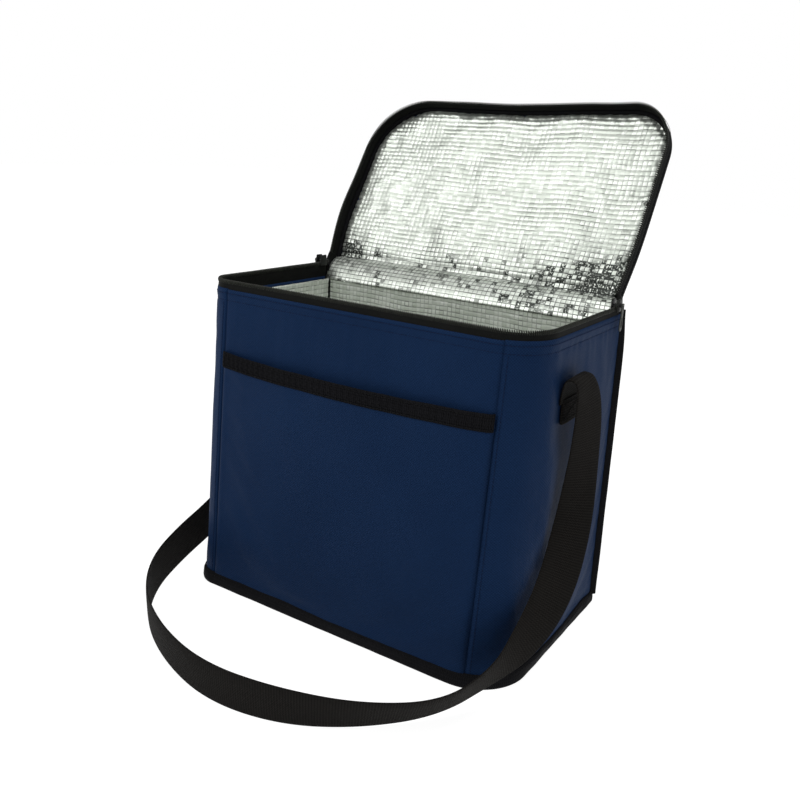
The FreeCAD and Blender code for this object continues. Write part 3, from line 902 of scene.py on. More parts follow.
# %% Bottom binding
def loop_profile(turn, wide, tall):
    """A flat loop with round ends, as an offset outwards and upwards."""
    angle = math.tau * turn
    return (wide / 2 * math.copysign(abs(math.cos(angle)) ** 0.7, math.cos(angle)),
            tall / 2 * math.copysign(abs(math.sin(angle)) ** 0.7, math.sin(angle)))


BIND_TALL = 0.0112
BIND_WIDE = 0.0034


def bottom_place(run, turn):
    out, up = loop_profile(turn, BIND_WIDE, BIND_TALL)
    wobble = 0.0003 * noise.noise(Vector((run * 60, 1.7, 0)))
    height = max(up + BIND_TALL / 2 + 0.0002, 0.0001)
    if up > 0:
        height += 0.0004 * noise.noise(Vector((run * 45, 8, 0)))
    lean = 0.0005 * (1 - height / BIND_TALL)
    rib = 0.00008 * math.sin(run * math.tau / 0.0014) if out > 0 else 0
    point, facing = plan(run, height, 0.0003 + out + lean + wobble + rib)
    return point + facing * swell(run, height)


bm = laid_grid(spread(0, GIRTH - 1e-7, 0.0007), spread(0, 1, 1 / 14), bottom_place,
               closed=True, uv=lambda run, turn: (run, turn * 0.028))
finish_piece("bottom_binding", bm, binding, "bag", "bottom_binding")
print("bottom binding", round(GIRTH * 1000), "mm round")

# %% [markdown]
# The rear corner seams stand out diagonally, like the spine of a leaf. They run from the bottom
# binding to the zipper.

# %% Rear corner bindings
def corner_binding(name, side):
    diagonal = Vector((side, 1, 0)).normalized()
    flat = Vector((-side, 1, 0)).normalized()
    top = 0.2555

    def place(turn, z):
        out, thick = loop_profile(turn, 0.0068, 0.0024)
        corner = plan(REAR_RIGHT if side > 0 else GIRTH - 1e-6, z, 0)[0]
        reach = 0.0019 + out - 0.0022 * bump(z - top, 0.02)
        wobble = 0.0005 * noise.noise(Vector((z * 30, side, 0)))
        return corner + diagonal * reach + flat * (thick * 1.05 + wobble)

    bm = laid_grid(spread(0, 1, 1 / 14), spread(0.0085, top, 0.0012), place, closed=True, caps=True,
                   outwards=True, uv=lambda turn, z: (z, turn * 0.02))
    return finish_piece(name, bm, binding, "bag", name)


corner_binding("rear_left_binding", -1)
corner_binding("rear_right_binding", 1)
print("corner bindings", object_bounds()[1].y)

# %% [markdown]
# ## The zipper on the rim
# A coil zipper is woven tape with a nylon coil sewn along one edge. The tape stands out of the hem all
# round the mouth, and inside it shows as a black band above a narrow navy facing.

# %% Zipper tape on the body
TAPE_START = 0.0045
TAPE_END = REAR_RIGHT - 0.0045
TAPE_LOW = LINING_TOP
TAPE_TOP = 0.2575
COIL_Z = 0.2573


def ripple(run):
    return 0.0005 * noise.noise(Vector((run * 38, 0.4, 0)))


def tape_place(run, turn):
    out, up = loop_profile(turn, 0.0016, TAPE_TOP - TAPE_LOW)
    z = (TAPE_TOP + TAPE_LOW) / 2 + up
    loose = min(max((z - HEM) / 0.01, 0), 1)
    return wall(run, z, -0.0012 + out + ripple(run) * loose, follow=1 - loose)


bm = laid_grid(spread(TAPE_START, TAPE_END, 0.0025), spread(0, 1, 1 / 16), tape_place,
               closed=True, caps=True, uv=lambda run, turn: (run, turn * 0.032))
finish_piece("body_zipper_tape", bm, tape, "bag", "body_zipper_tape")
panel("rim_facing", TAPE_START + 0.001, TAPE_END - 0.001, 0.2408, 0.2452, navy, out=-0.0026, inside_out=True,
      thickness=0.0005)
print("tape on the rim", round((TAPE_END - TAPE_START) * 1000), "mm")

# %% [markdown]
# The coil is hundreds of small nylon loops. Each is one short rounded bead of about forty faces,
# leaning the way a coil leans, so the row reads as a zipper from close up and stays light.

# %% Coils
TOOTH = 0.0016


BEAD = Matrix.Diagonal((0.00055, 0.0021, 0.0013, 1))


def coil(name, spots, body):
    """spots is a list of (point, direction along the tape, direction across it)."""
    bm = bmesh.new()
    for point, along, across in spots:
        upright = along.cross(across).normalized()
        axes = Matrix((along, across, upright)).transposed().to_4x4()
        place = Matrix.Translation(point) @ axes @ Matrix.Rotation(0.3, 4, "Z") @ BEAD
        bmesh.ops.create_uvsphere(bm, u_segments=8, v_segments=5, radius=1, matrix=place)
    return finish_piece(name, bm, coil_nylon, body, name)


def with_directions(points, across):
    spots = []
    for before, point, after in zip(points, points[1:], points[2:]):
        along = (after - before).normalized()
        spots.append((point, along, (across - along * across.dot(along)).normalized()))
    return spots


rim_points = [wall(run, COIL_Z, -0.0014 + ripple(run), 0.0)
              for run in spread(TAPE_START + 0.004, TAPE_END - 0.004, TOOTH)]
coil("body_zipper_coil", with_directions(rim_points, Vector((0, 0, 1))), "bag")
print("teeth on the body", len(rim_points) - 2)

# %% [markdown]
# ## Stitches
# Thread is what tells the eye that cloth is sewn. Each stitch is a short six-sided thread lying on the
# cloth, placed one after the other along a seam with a small gap.

# %% Stitch rows
def stitch_rows(name, rows, material, body, radius=0.00022, share=0.72):
    """One stitch between each two neighbours of every row, a little shorter than their distance."""
    bm = bmesh.new()
    for points in rows:
        for start, end in zip(points, points[1:]):
            turn = (end - start).to_track_quat("Z", "Y").to_matrix().to_4x4()
            place = Matrix.Translation((start + end) / 2) @ turn
            bmesh.ops.create_cone(bm, cap_ends=True, segments=6, radius1=radius, radius2=radius,
                                  depth=(end - start).length * share, matrix=place)
    return finish_piece(name, bm, material, body)


STITCH = 0.0028
SKIN_GAP = 0.00015
hem_row = [wall(run, 0.2432, SKIN_GAP) for run in spread(0.004, REAR_RIGHT - 0.004, STITCH)]
top_row = [wall(run, 0.2488, SKIN_GAP) for run in spread(0.004, REAR_RIGHT - 0.004, STITCH)]
back_row = [wall(run, 0.2500, SKIN_GAP) for run in spread(REAR_RIGHT + 0.006, GIRTH - 0.006, STITCH)]
seam_rows = [[wall(seam + side * 0.0032, z, SKIN_GAP) for z in spread(low, high, STITCH)]
             for low, high in ((TRIM_TOP + 0.002, 0.242), (0.012, TRIM_TOP + 0.002))
             for seam, side in ((LEFT_SEAM, -1), (RIGHT_SEAM, 1))]
stitch_rows("hem_stitches", [hem_row, top_row, back_row], thread_navy, "bag")
stitch_rows("seam_stitches", seam_rows, thread_navy, "bag", radius=0.00018)
trim_rows = [[pocket_place(run, z, 0.00165) for run in spread(POCKET_START, POCKET_END, STITCH)]
             for z in (TRIM_LOW + 0.0016, TRIM_TOP - 0.0018)]
binding_row = [plan(run, BIND_TALL - 0.0022, 0.0020)[0] + plan(run, 0.009, 0)[1] * swell(run, 0.009)
               for run in spread(0, GIRTH, STITCH)]
stitch_rows("binding_stitches", trim_rows + [binding_row], thread_black, "bag")
print("stitches on the hem", len(hem_row))

# %% [markdown]
# ## The shoulder strap
# Webbing is a flat cord: it has one length, and it lies where gravity puts it. Its route is a list of
# points, each with the direction from its lower edge to its upper edge. A smooth NURBS
# curve runs through the route, and two more, one along each edge, tell how the webbing turns.

# %% The strap's route
STRAP_WIDE = 0.032
STRAP_THICK = 0.0016
ROUTE = [
    ((0.1441, -0.020, 0.2062), (0, -1, 0)),
    ((0.1447, -0.021, 0.216), (0, -1, 0)),
    ((0.1475, -0.022, 0.224), (0.05, -1, 0)),
    ((0.156, -0.022, 0.223), (0, -1, 0)),
    ((0.160, -0.0195, 0.203), (-0.2, -0.97, 0)),
    ((0.1595, -0.0165, 0.160), (-0.35, -0.93, 0)),
    ((0.1605, -0.026, 0.112), (-0.6, -0.75, 0.1)),
    ((0.1605, -0.046, 0.072), (-0.6, -0.65, 0.3)),
    ((0.1545, -0.073, 0.044), (-0.35, -0.62, 0.6)),
    ((0.1435, -0.101, 0.0265), (0.15, -0.68, 0.68)),
    ((0.126, -0.139, 0.015), (0.3, -0.55, 0.78)),
    ((0.088, -0.177, 0.015), (0.2, -0.4, 0.9)),
    ((0.040, -0.203, 0.0165), (0.05, -0.15, 1)),
    ((-0.015, -0.212, 0.0168), (0, -0.1, 1)),
    ((-0.070, -0.198, 0.0168), (0, -0.1, 1)),
    ((-0.120, -0.170, 0.0169), (0, -0.05, 1)),
    ((-0.153, -0.131, 0.018), (-0.05, 0, 1)),
    ((-0.171, -0.085, 0.021), (-0.1, 0, 1)),
    ((-0.180, -0.038, 0.028), (-0.1, -0.1, 1)),
    ((-0.184, 0.008, 0.046), (-0.1, -0.4, 0.9)),
    ((-0.181, 0.036, 0.092), (-0.1, -0.9, 0.3)),
    ((-0.169, 0.020, 0.150), (0, -1, -0.1)),
    ((-0.162, -0.008, 0.200), (0, -1, -0.1)),
    ((-0.158, -0.018, 0.226), (0, -1, 0)),
    ((-0.147, -0.018, 0.226), (0, -1, 0)),
    ((-0.1439, -0.018, 0.217), (0, -1, 0)),
    ((-0.1437, -0.018, 0.2062), (0, -1, 0)),
]


def smooth_line(points, fine=20):
    """The points that a NURBS curve through this route gives."""
    curve = bpy.data.curves.new("line", "CURVE")
    curve.dimensions = "3D"
    curve.resolution_u = fine
    spline = curve.splines.new("NURBS")
    spline.points.add(len(points) - 1)
    for target, point in zip(spline.points, points):
        target.co = (*point, 1)
    spline.order_u = 3
    spline.use_endpoint_u = True
    helper = bpy.data.objects.new("line", curve)
    scene_collection.objects.link(helper)
    mesh = bpy.data.meshes.new_from_object(helper)
    line = [vert.co.copy() for vert in mesh.vertices]
    bpy.data.objects.remove(helper)
    bpy.data.curves.remove(curve)
    bpy.data.meshes.remove(mesh)
    return line


def edge_line(side):
    reach = side * STRAP_WIDE / 2
    return smooth_line([Vector(point) + Vector(turn).normalized() * reach for point, turn in ROUTE])


strap_line = smooth_line([point for point, _ in ROUTE])
upper_edge = edge_line(1)
lower_edge = edge_line(-1)
strap_length = sum((b - a).length for a, b in zip(strap_line, strap_line[1:]))
print("strap", round(strap_length, 3), "m in", len(strap_line), "points")

# %% [markdown]
# The webbing's section is a flat loop with thicker, rounded edges. It is swept by the same grid
# helper: one coordinate picks a point on the line, the other goes round the section.

# %% Strap mesh
travelled = [0.0]
for before, after in zip(strap_line, strap_line[1:]):
    travelled.append(travelled[-1] + (after - before).length)


def strap_frame(index):
    """Directions at a point of the strap: along it, across it and out of its face."""
    last = len(strap_line) - 1
    ahead = (strap_line[min(index + 1, last)] - strap_line[max(index - 1, 0)]).normalized()
    across = (upper_edge[index] - lower_edge[index]).normalized()
    across = (across - ahead * across.dot(ahead)).normalized()
    return ahead, across, ahead.cross(across)


strap_frames = [strap_frame(index) for index in range(len(strap_line))]


def strap_place(index, turn):
    ahead, across, face = strap_frames[index]
    angle = math.tau * turn
    reach = STRAP_WIDE / 2 * math.copysign(abs(math.cos(angle)) ** 0.55, math.cos(angle))
    edge = abs(math.cos(angle)) ** 6
    thick = STRAP_THICK / 2 * math.copysign(abs(math.sin(angle)) ** 0.5, math.sin(angle)) * (0.9 + 0.2 * edge)
    cup = 0.0004 * (abs(math.cos(angle)) ** 2 - 0.5)
    point = strap_line[index] + across * reach + face * (thick + cup)
    point.z = max(point.z, 0.0002)
    return point


def strap_uv(index, turn):
    return travelled[index], STRAP_WIDE * math.cos(math.tau * turn) * (1 if turn <= 0.5 else -1)


bm = laid_grid(list(range(len(strap_line))), spread(0, 1, 1 / 24), strap_place, closed=True, caps=True,
               outwards=True, uv=strap_uv)
shoulder_strap = finish_piece("shoulder_strap", bm, webbing, "bag", "shoulder_strap")
tuple(strap_line[0])
[tuple(point) for point in strap_line]
print("strap faces", len(shoulder_strap.data.polygons))

# %% [markdown]
# ### The sewn ends
# Each end of the webbing is folded under, laid flat on the gusset and sewn with a square and a cross,
# because all the weight hangs there.

# %% Strap ends
END_LOW = 0.1900
END_HIGH = 0.2075
END_FRONT = -0.0365
END_REAR = -0.0035


def strap_end(name, side):
    middle_y = (END_FRONT + END_REAR) / 2

    def run_at(y):
        away = (REAR_LOW + REAR_TOP) / 2 - y
        return away if side < 0 else REAR_RIGHT - away

    def place(turn, z):
        across, thick = loop_profile(turn, END_REAR - END_FRONT, 0.0026)
        fold = 0.0008 * bump(z - END_LOW, 0.003)
        return wall(run_at(middle_y + across * -side), z, 0.0014 + thick + (fold if thick > 0 else 0))

    bm = laid_grid(spread(0, 1, 1 / 40), spread(END_LOW, END_HIGH, 0.001), place, closed=True, caps=True,
                   outwards=True, uv=lambda turn, z: (z, turn * 0.066))
    finish_piece(name, bm, webbing, "bag", name)
    low, high = END_LOW + 0.003, END_HIGH - 0.003
    front, rear = END_FRONT + 0.003, END_REAR - 0.003
    square_and_diagonal = [(front, low), (rear, low), (rear, high), (front, high), (front, low), (rear, high)]
    other_diagonal = [(rear, low), (front, high)]
    rows = []
    for path in (square_and_diagonal, other_diagonal):
        points = []
        for (y0, z0), (y1, z1) in zip(path, path[1:]):
            count = round(math.hypot(y1 - y0, z1 - z0) / 0.0024)
            points += [wall(run_at(y0 + (y1 - y0) * k / count), z0 + (z1 - z0) * k / count, 0.00285)
                       for k in range(count)]
        rows.append(points)
    stitch_rows(name + "_stitches", rows, thread_black, "bag", radius=0.00025)


strap_end("strap_end_left", -1)
strap_end("strap_end_right", 1)
print("strap ends sewn between", END_LOW, "and", END_HIGH)

# %% [markdown]
# ## The lid
# The lid is a foam panel between navy cloth and foil. At rest it leans back past upright. Its pieces
# are placed in the lid's own terms: `x` across, `far` from the hinge towards the front edge, and
# `back` from the hinge plane towards the navy side.

# %% The lid's own directions
hinge = [joint for joint in frame["joints"] if joint["name"] == "lid_hinge"][0]
HINGE = Vector(hinge["pos_m"])
LID_TURN = math.radians(-hinge["range_deg"][0])
FAR = Vector((0, -math.cos(LID_TURN), math.sin(LID_TURN)))
BACK = Vector((0, math.sin(LID_TURN), math.cos(LID_TURN)))
LID_LONG = 0.1635
LID_HALF = 0.1415
LID_BENDS = (0.052, 0.038)
FOIL_BACK = 0.0135
SHELL_BACK = 0.0180


def lid(x, far, back):
    """A point of the lid. The soft panel bows a little, and its right front corner pulls outwards."""
    share = far / LID_LONG
    pull = max(x / LID_HALF, 0) * share
    bow = 0.0012 * crown(share) * crown((x + LID_HALF) / (2 * LID_HALF)) - 0.003 * pull * share
    wave = 0.0005 * noise.noise(Vector((x * 17, far * 17, 5.5))) * min(share * 4, 1)
    left = max(-x / LID_HALF, 0) ** 2
    right = max(x / LID_HALF, 0) ** 2
    x += 0.0025 * pull - 0.0065 * left * bump(far - 0.046, 0.048)
    x -= right * (0.0040 * (1 - 0.6 * share) + 0.0030 * bump(far, 0.035))
    return (HINGE + Vector((x, 0, 0)) + FAR * (far + (0.001 + 0.005 * pull) * share)
            + BACK * (back + bow + wave))


print("lid leans", round(math.degrees(LID_TURN)), "degrees from closed")

# %% [markdown]
# The lid's outline runs up one side, round two large corners and down the other side. `lid_edge`
# follows it by distance, at any inset, so foil, binding, tape and coil all share it.

# %% The lid's outline
LID_START = 0.004
LID_RUNS = [LID_LONG - LID_BENDS[0] - LID_START, math.pi / 2 * LID_BENDS[0], 2 * LID_HALF - sum(LID_BENDS),
            math.pi / 2 * LID_BENDS[1], LID_LONG - LID_BENDS[1] - LID_START]
LID_GIRTH = sum(LID_RUNS)


def lid_edge(run, inset):
    """(x, far) on the outline and the direction that points outwards there."""
    run = min(max(run, 0), LID_GIRTH)
    part = 0
    while part < 4 and run > LID_RUNS[part]:
        run -= LID_RUNS[part]
        part += 1
    half = LID_HALF - inset
    long = LID_LONG - inset
    bend = LID_BENDS[0 if part < 2 else 1] - inset
    if part == 0:
        return (-half, LID_START + run), (-1, 0)
    if part == 2:
        return (-LID_HALF + LID_BENDS[0] + run, long), (0, 1)
    if part == 4:
        return (half, long - bend - (run / LID_RUNS[4]) * (long - bend - LID_START)), (1, 0)
    angle = math.pi * (1 - run / LID_RUNS[1] / 2) if part == 1 else math.pi * (0.5 - run / LID_RUNS[3] / 2)
    middle = -half + bend if part == 1 else half - bend
    facing = (math.cos(angle), math.sin(angle))
    return (middle + facing[0] * bend, long - bend + facing[1] * bend), facing


print("lid outline", round(LID_GIRTH * 1000), "mm")

# %% [markdown]
# ### Foil and cloth of the lid
# A rounded panel could be cut from a grid, but then its edge is a staircase. Instead each grid point
# beyond a corner is pulled onto the corner's circle, which keeps the squares nearly square.

# %% Lid panels
def lid_crumple_shade(x, far, edge):
    """How much painted shade and painted dark reflection the lid's foil gets where it creases: most at the
    hinge's ends, some along the hinge and the right side, in a thin diagonal streak and at the edge.
    """
    right = (x + LID_HALF) / (2 * LID_HALF)
    hinge_side = 0.55 * bump(far - 0.006, 0.03)
    corners = 0.75 * bump(far - 0.008, 0.026) * max(bump(x - 0.118, 0.032), bump(x + 0.128, 0.022))
    streak = 0.25 * bump(x + 0.030 - 0.25 * (far - 0.1), 0.006)
    return 0.08 + hinge_side + corners + streak + 0.50 * right ** 3 + 0.25 * bump(edge, 0.004)


LID_LOW = 0.0055


def lid_panel(name, material, back, inset, step, inside_out, relief, thickness):
    """A panel of the lid from its hinge side to its front edge, `inset` inside the outline."""
    half = LID_HALF - inset
    long = LID_LONG - inset

    def spot(x, far):
        bend = LID_BENDS[0 if x < 0 else 1] - inset
        px, py = onto_corner(x, far, half, long, bend)
        edge = min(half - abs(px), long - py)
        if abs(px) > half - bend and py > long - bend:
            edge = bend - Vector((abs(px) - half + bend, py - long + bend)).length
        return px, py, max(edge, 0)

    def place(x, far):
        px, py, edge = spot(x, far)
        return lid(px, py, back + relief(px, py, edge))

    bm = laid_grid(spread(-half, half, step), spread(LID_LOW, long, step), place, inside_out=inside_out,
                   uv=lambda x, far: foil_flat(*spot(x, far)[:2]),
                   mark=lambda x, far: lid_crumple_shade(*spot(x, far)))
    return finish_piece(name, bm, material, "lid", name, thickness)


def foil_relief(x, far, edge):
    """Squares stand forward, the sewn edge pulls back, with puckers that die away from it."""
    wander = 3 * noise.noise(Vector((x * 40, far * 40, 0)))
    pucker = 0.0004 * bump(edge, 0.006) * math.sin((x + far) * math.tau / 0.0105 + wander)
    crease = 0.0012 * bump(far - 0.012 - 0.004 * noise.noise(Vector((x * 30, 0, 2))), 0.0035)
    pull_in = 0.0018 * bump(edge, 0.004)
    return pull_in + pucker + crease - 0.0008 * emboss(x, far) - 1.4 * foil_wave(x, far, 0.7)


def shell_relief(x, far, edge):
    return -0.0022 * bump(edge, 0.005) + 0.0006 * noise.noise(Vector((x * 28, far * 28, 6)))


lid_panel("lid_liner", foil, FOIL_BACK, 0.0020, FOIL_PITCH / 4, False, foil_relief, FOIL_THICK)
lid_panel("lid_shell", navy, SHELL_BACK, 0.0012, 0.003, True, shell_relief, CLOTH)
lid_padding = lid_panel("lid_foam", foam_white, FOIL_BACK + 0.0030, 0.0100, 0.004, True,
                        lambda x, far, edge: 0.0, 0.0009)
print("lid panels", LID_LONG, LID_HALF)

# %% [markdown]
# ### The bound seam and the zipper tape of the lid
# The seam that joins foil, foam and cloth is wrapped in tape, and from it the zipper tape stands
# forward all round. It is soft, so it leans in and out a little.

# %% Lid binding, tape and coil
def lid_loop(name, material, inset, back, wide, deep, step, sides, lean=0.0, wander=0.0, rib=0.0):
    """A flat loop of cloth swept round the lid: wide in the lid's plane, deep along `back`."""
    def place(run, turn):
        out, along = loop_profile(turn, wide, deep)
        (x, far), facing = lid_edge(run, inset)
        forward = min(max((deep / 2 - along) / deep, 0), 1)
        loose = wander * noise.noise(Vector((run * 32, 2.2, 0))) * forward
        ripple = rib * math.sin(run * math.tau / 0.0014)
        shift = out + loose + lean * forward + ripple
        return lid(x + facing[0] * shift, far + facing[1] * shift, back + along)

    bm = laid_grid(spread(0, LID_GIRTH, step), spread(0, 1, 1 / sides), place, closed=True, caps=True,
                   outwards=True, uv=lambda run, turn: (run, turn * 2 * (wide + deep)))
    return finish_piece(name, bm, material, "lid", name)


TAPE_DEEP = 0.0102
TAPE_BACK = 0.0020 + TAPE_DEEP / 2
lid_loop("lid_binding", binding, 0.0016, 0.0144, 0.0036, 0.0066, 0.0007, 12, rib=0.00006)
lid_loop("lid_zipper_tape", tape, 0.0006, TAPE_BACK, 0.0012, TAPE_DEEP, 0.0022, 14,
         lean=-0.0004, wander=0.0007)


def lid_coil_point(run):
    (x, far), facing = lid_edge(run, 0.0006)
    shift = -0.0004 + 0.0007 * noise.noise(Vector((run * 32, 2.2, 0)))
    return lid(x + facing[0] * shift, far + facing[1] * shift, 0.0016)


lid_points = [lid_coil_point(run) for run in spread(0.002, LID_GIRTH - 0.002, TOOTH)]
coil("lid_zipper_coil", with_directions(lid_points, BACK), "lid")
lid_rows = [[lid(x + facing[0] * away, far + facing[1] * away, back)
             for (x, far), facing in (lid_edge(run, 0) for run in spread(0, LID_GIRTH, STITCH))]
            for away, back in ((-0.0036, FOIL_BACK - 0.0004), (0.0007, 0.0085))]
stitch_rows("lid_stitches", lid_rows, thread_black, "lid")
print("teeth on the lid", len(lid_points) - 2)

# %% [markdown]
# ### The fabric hinge
# Cloth outside and foil inside carry on from the back wall into the lid, so the hinge is fabric that
# bends. Each strip is laid in the open pose, from its lower edge on the bag to its upper edge on the lid.

# %% Hinge cloth
def hinge_strip(name, material, half, low, high, node=None, relief=0.0, inside_out=False, thickness=0.0006,
                slack=1.0):
    """A strip that bends from a point on the bag (y, z) to a point on the lid (far, back)."""
    start = Vector((0, *low))
    end = HINGE + FAR * high[0] + BACK * high[1]

    def place(x, share):
        pull = ((start + end) / 2).lerp(Vector((0, start.y + 0.0015, HINGE.z - 0.001)), slack)
        point = start * (1 - share) ** 2 + pull * 2 * share * (1 - share) + end * share ** 2
        crease = relief * (emboss(x, share * 0.03) + 0.6 * noise.noise(Vector((x * 45, share * 2, 1))))
        follow = (lid(x, *high).x - x) * share
        return point + Vector((x + follow, -crease * 0.8, crease * 0.4))

    # Every point gets 0.75 of painted shade and painted dark reflection, which the hinge foil's material
    # reads.
    bm = laid_grid(spread(-half, half, 0.0014), spread(0, 1, 1 / 18), place, inside_out=inside_out,
                   mark=lambda x, share: 0.75, uv=lambda x, share: (x, share * (end - start).length))
    strip = finish_piece(name, bm, material, None, node, thickness)
    bpy.context.view_layer.objects.active = strip
    bpy.ops.object.modifier_apply(modifier="thickness")
    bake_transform(strip)


hinge_strip("hinge_cloth", tape, 0.1400, (0.0785, 0.2485), (0.0085, 0.0160),
            ["hinge_strip", "lid_hinge_flap"], inside_out=True, slack=0.2)
hinge_strip("hinge_foil", foil, 0.1399, (0.0718, 0.2425), (0.0075, 0.0128), relief=0.0006,
            thickness=FOIL_THICK, slack=0.62)


def hinge_web(name, side):
    """The end of the zipper tape turns the corner from the rim up into the lid."""
    x = side * (HALF_TOP - 0.0014)
    web_y = 0.0735
    rim_top, rim_low = Vector((x, web_y, 0.2592)), Vector((x, web_y, 0.2440))
    lid_top, lid_low = lid(side * LID_HALF, 0.0075, 0.0012), lid(side * LID_HALF, 0.0075, 0.0135)

    def place(share, turn):
        angle = math.tau * turn
        high = 0.5 + 0.5 * math.copysign(abs(math.cos(angle)) ** 0.7, math.cos(angle))
        top = rim_top.lerp(lid_top, share) + Vector((0, 0, -0.0016 * crown(share)))
        low = rim_low.lerp(lid_low, share) + Vector((0, 0, 0.0012 * crown(share)))
        thick = (0.0008 + 0.0014 * share) * math.sin(angle)
        return low.lerp(top, high) + Vector((thick + side * 0.0012 * crown(share), 0, 0))

    bm = laid_grid(spread(0, 1, 1 / 16), spread(0, 1, 1 / 16), place, closed=True, caps=True,
                   outwards=True, uv=lambda share, turn: (share * 0.02, turn * 0.03))
    web = finish_piece(name, bm, tape, None)
    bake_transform(web)


hinge_web("hinge_web_left", -1)
hinge_web("hinge_web_right", 1)

# %% [markdown]
# ## Sliders and pulls
# A slider is a small die casting: two wings either side of the tape, joined by a bridge above the
# coils, with two lugs on the outer wing that hold the pull's pin. Beveled blocks give its cast edges.

# %% Castings
def casting_block(bm, low, high, round_edge, taper=0.0):
    """A box with rounded edges between two corners; taper narrows its top along Y."""
    centre = (Vector(low) + Vector(high)) / 2
    size = Vector(high) - Vector(low)
    made = bmesh.ops.create_cube(bm, size=1, matrix=Matrix.Translation(centre) @ Matrix.Diagonal((*size, 1)))
    verts = made["verts"]
    for vert in verts:
        if vert.co.z > centre.z:
            vert.co.y = centre.y + (vert.co.y - centre.y) * (1 - taper)
    edges = list({edge for vert in verts for edge in vert.link_edges})
    bmesh.ops.bevel(bm, geom=edges, offset=round_edge, segments=3, profile=0.5, affect="EDGES", material=-1)


def slider(side):
    name = "slider_left" if side < 0 else "slider_right"
    low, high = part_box(name)
    inner = min(abs(low.x), abs(high.x))
    outer = max(abs(low.x), abs(high.x))
    middle = (low.y + high.y) / 2
    plate = 0.0014
    face = outer - 0.0022
    bm = bmesh.new()

    def block(start, end, y0, y1, z0, z1, round_edge, taper=0.0):
        x0, x1 = sorted((side * start, side * end))
        casting_block(bm, (x0, y0, z0), (x1, y1, z1), round_edge, taper)

    for start, end in ((inner, inner + plate), (outer - plate - 0.0022, face)):
        block(start, end, low.y, high.y, low.z + 0.0002, high.z - 0.0002, 0.00055, taper=0.3)
    block(inner + plate / 2, outer - plate - 0.0022 + plate / 2, middle - 0.002, middle + 0.002,
          0.2602, 0.2609, 0.0002)
    for end in (-0.0026, 0.0026):
        block(face - 0.0002, face + 0.0020, middle + end - 0.0005, middle + end + 0.0005,
              0.2594, 0.2617, 0.0003)
    pin_place = Matrix.Translation((side * (face + 0.0012), middle, 0.26055))
    bmesh.ops.create_cone(bm, cap_ends=True, segments=16, radius1=0.0006, radius2=0.0006, depth=0.0056,
                          matrix=pin_place @ Matrix.Rotation(math.pi / 2, 4, "X"))
    return finish_piece(name + "_casting", bm, zip_metal, name, name)


slider(-1)
slider(1)

# %% [markdown]
# The pull is stamped sheet: an eye at the top, a waist, and a wider tail with a window cut in it.
# Deleting faces of a flat grid opens the window and the eye, and extruding the rest gives the plate
# its thickness.

# %% Pulls
def pull(side):
    name = "pull_left" if side < 0 else "pull_right"
    low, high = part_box(name)
    centre_x = side * 0.1456
    middle = (low.y + high.y) / 2
    bm = bmesh.new()
    outline = bmesh.ops.create_grid(bm, x_segments=4, y_segments=14, size=1)["verts"]
    tall = high.z - low.z - 0.0006
    for vert in outline:
        share = (vert.co.y + 1) / 2
        wide = 0.0024 - 0.0009 * bump(share - 0.62, 0.16) - 0.0007 * max(share - 0.8, 0) / 0.2
        round_end = math.sqrt(max(0.0, 1 - max(0.0, 1 - share * 9) ** 2)) if share < 0.11 else 1.0
        wide *= max(round_end, 0.35)
        vert.co = Vector((centre_x, middle + vert.co.x * wide, low.z + 0.0003 + share * tall))
    window = []
    for face in bm.faces:
        centre = face.calc_center_median()
        height = (centre.z - low.z) / tall
        if abs(centre.y - middle) < 0.0013 and (0.18 < height < 0.48 or 0.82 < height < 0.97):
            window.append(face)
    bmesh.ops.delete(bm, geom=window, context="FACES")
    extruded = bmesh.ops.extrude_face_region(bm, geom=bm.faces[:])
    moved = [item for item in extruded["geom"] if isinstance(item, bmesh.types.BMVert)]
    bmesh.ops.translate(bm, verts=moved, vec=(side * 0.0011, 0, 0))
    bmesh.ops.recalc_face_normals(bm, faces=bm.faces)
    sharp = [edge for edge in bm.edges if edge.calc_face_angle(0) > 0.9]
    bmesh.ops.bevel(bm, geom=sharp, offset=0.00022, segments=2, profile=0.5, affect="EDGES", material=-1)
    return finish_piece(name + "_tab", bm, pull_metal, name, name)


pull(-1)
pull(1)

# %% [markdown]
# Small metal stops clamp the two rear ends of the coil.

# %% Zip stops
for name in ("zip_stop_left", "zip_stop_right"):
    low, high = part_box(name)
    bm = bmesh.new()
    casting_block(bm, low - Vector((0.0004, 0, 0.0002)), high + Vector((0.0004, 0, 0.0002)), 0.0005)
    finish_piece(name + "_clamp", bm, zip_metal, "bag", name)
print("stops clamped")

# %% [markdown]
# ## Hidden layers
# Foam fills the wall between cloth and foil. It follows the same wall function, so it swells with the
# cloth and never comes through the foil. The base's foam and board are thin slabs of its own outline.

# %% Foam and board
for name, start, end in (("left_foam", 0.004, LEFT_SEAM - 0.001),
                         ("front_foam", LEFT_SEAM + 0.001, RIGHT_SEAM - 0.001),
                         ("right_foam", RIGHT_SEAM + 0.001, REAR_RIGHT - 0.004),
                         ("back_foam", REAR_RIGHT + 0.004, GIRTH - 0.004)):
    padding = panel(name, start, end, 0.009, 0.240, foam_white, out=-0.0014, step=0.006, thickness=0.0022)
for name, material in (("base_foam", foam_white), ("base_board", board_grey)):
    low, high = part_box(name)
    slab = base_grid(lambda x, y: low.z, 0.0065, 0.006, True)
    finish_piece(name, slab, material, "bag", name, high.z - low.z)
print("hidden layers in place")

# %% [markdown]
# ## Floor and light
# A plain white sweep with broad soft lamps. The floor shows white to the camera and to reflections,
# and still takes the bag's shadow, because only part of what the camera sees of it is lamp light.

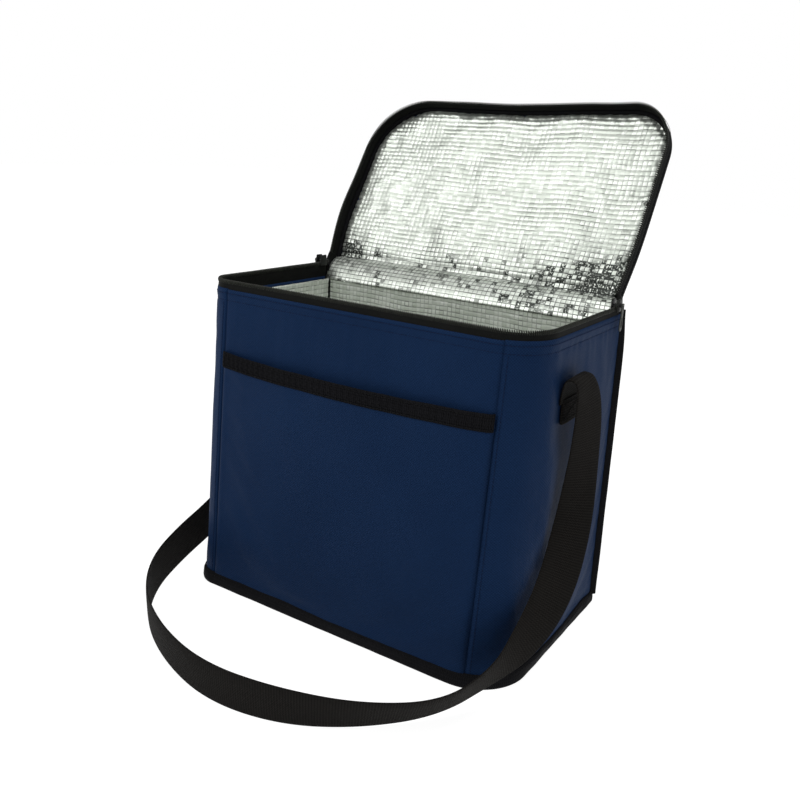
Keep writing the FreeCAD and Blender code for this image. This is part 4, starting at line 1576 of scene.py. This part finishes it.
# %% Floor
def white_floor():
    material, tree, shader = new_material("white floor")
    shader.inputs["Base Color"].default_value = (0.9, 0.9, 0.9, 1)
    shader.inputs["Roughness"].default_value = 0.9
    glow = tree.nodes.new("ShaderNodeEmission")
    glow.inputs["Strength"].default_value = 1.3
    path = tree.nodes.new("ShaderNodeLightPath")
    seen = number(tree, "MAXIMUM", path.outputs["Is Camera Ray"],
                  number(tree, "MAXIMUM", path.outputs["Is Glossy Ray"], path.outputs["Is Transmission Ray"]))
    blend_shaders = tree.nodes.new("ShaderNodeMixShader")
    link(tree, number(tree, "MULTIPLY", seen, 0.72), blend_shaders.inputs["Fac"])
    link(tree, shader.outputs[0], blend_shaders.inputs[1])
    link(tree, glow.outputs[0], blend_shaders.inputs[2])
    link(tree, blend_shaders.outputs[0], tree.nodes["Material Output"].inputs["Surface"])
    return material


bm = bmesh.new()
bmesh.ops.create_grid(bm, x_segments=1, y_segments=1, size=6)
floor = object_from(bm, "floor")
floor.data.materials.append(white_floor())
print("floor laid")

# %% World and lamps
scene = bpy.context.scene
scene.view_settings.view_transform = "Standard"
world = bpy.data.worlds.new("studio")
scene.world = world
world.use_nodes = True
sky = world.node_tree.nodes["Background"]
sky.inputs["Color"].default_value = (1, 1, 1, 1)
SKY = world.node_tree
sky_path = SKY.nodes.new("ShaderNodeLightPath")
direction = SKY.nodes.new("ShaderNodeTexCoord")
toward = SKY.nodes.new("ShaderNodeVectorMath")
toward.operation = "DOT_PRODUCT"
link(SKY, direction.outputs["Generated"], toward.inputs[0])
toward.inputs[1].default_value = Vector((-0.45, -0.75, 0.5)).normalized()
softbox = SKY.nodes.new("ShaderNodeMapRange")
softbox.interpolation_type = "SMOOTHSTEP"
for label, value in (("From Min", 0.1), ("From Max", 0.95), ("To Min", 0.40), ("To Max", 0.86)):
    softbox.inputs[label].default_value = value
link(SKY, toward.outputs["Value"], softbox.inputs["Value"])
glossy = number(SKY, "MAXIMUM", sky_path.outputs["Is Glossy Ray"], sky_path.outputs["Is Transmission Ray"])
AMBIENT = 0.34
mirrored = number(SKY, "MULTIPLY", glossy, number(SKY, "SUBTRACT", softbox.outputs["Result"], AMBIENT))
seen = number(SKY, "MULTIPLY", sky_path.outputs["Is Camera Ray"], 1 - AMBIENT)
link(SKY, number(SKY, "ADD", number(SKY, "ADD", mirrored, seen), AMBIENT), sky.inputs["Strength"])


def soft_lamp(name, position, target, size, watts):
    lamp = bpy.data.lights.new(name, "AREA")
    lamp.energy = watts
    lamp.size = size
    holder = bpy.data.objects.new(name, lamp)
    holder.location = position
    holder.rotation_euler = (Vector(target) - Vector(position)).to_track_quat("-Z", "Y").to_euler()
    scene_collection.objects.link(holder)
    return holder


BAG_MIDDLE = (0, 0, 0.18)
soft_lamp("key", (-0.9, -1.5, 1.7), BAG_MIDDLE, 1.2, 13)
soft_lamp("side", (1.6, -0.4, 1.0), BAG_MIDDLE, 1.0, 2.6)
soft_lamp("top", (0.1, 0.3, 2.0), BAG_MIDDLE, 1.4, 16)
print("lamps", 3)
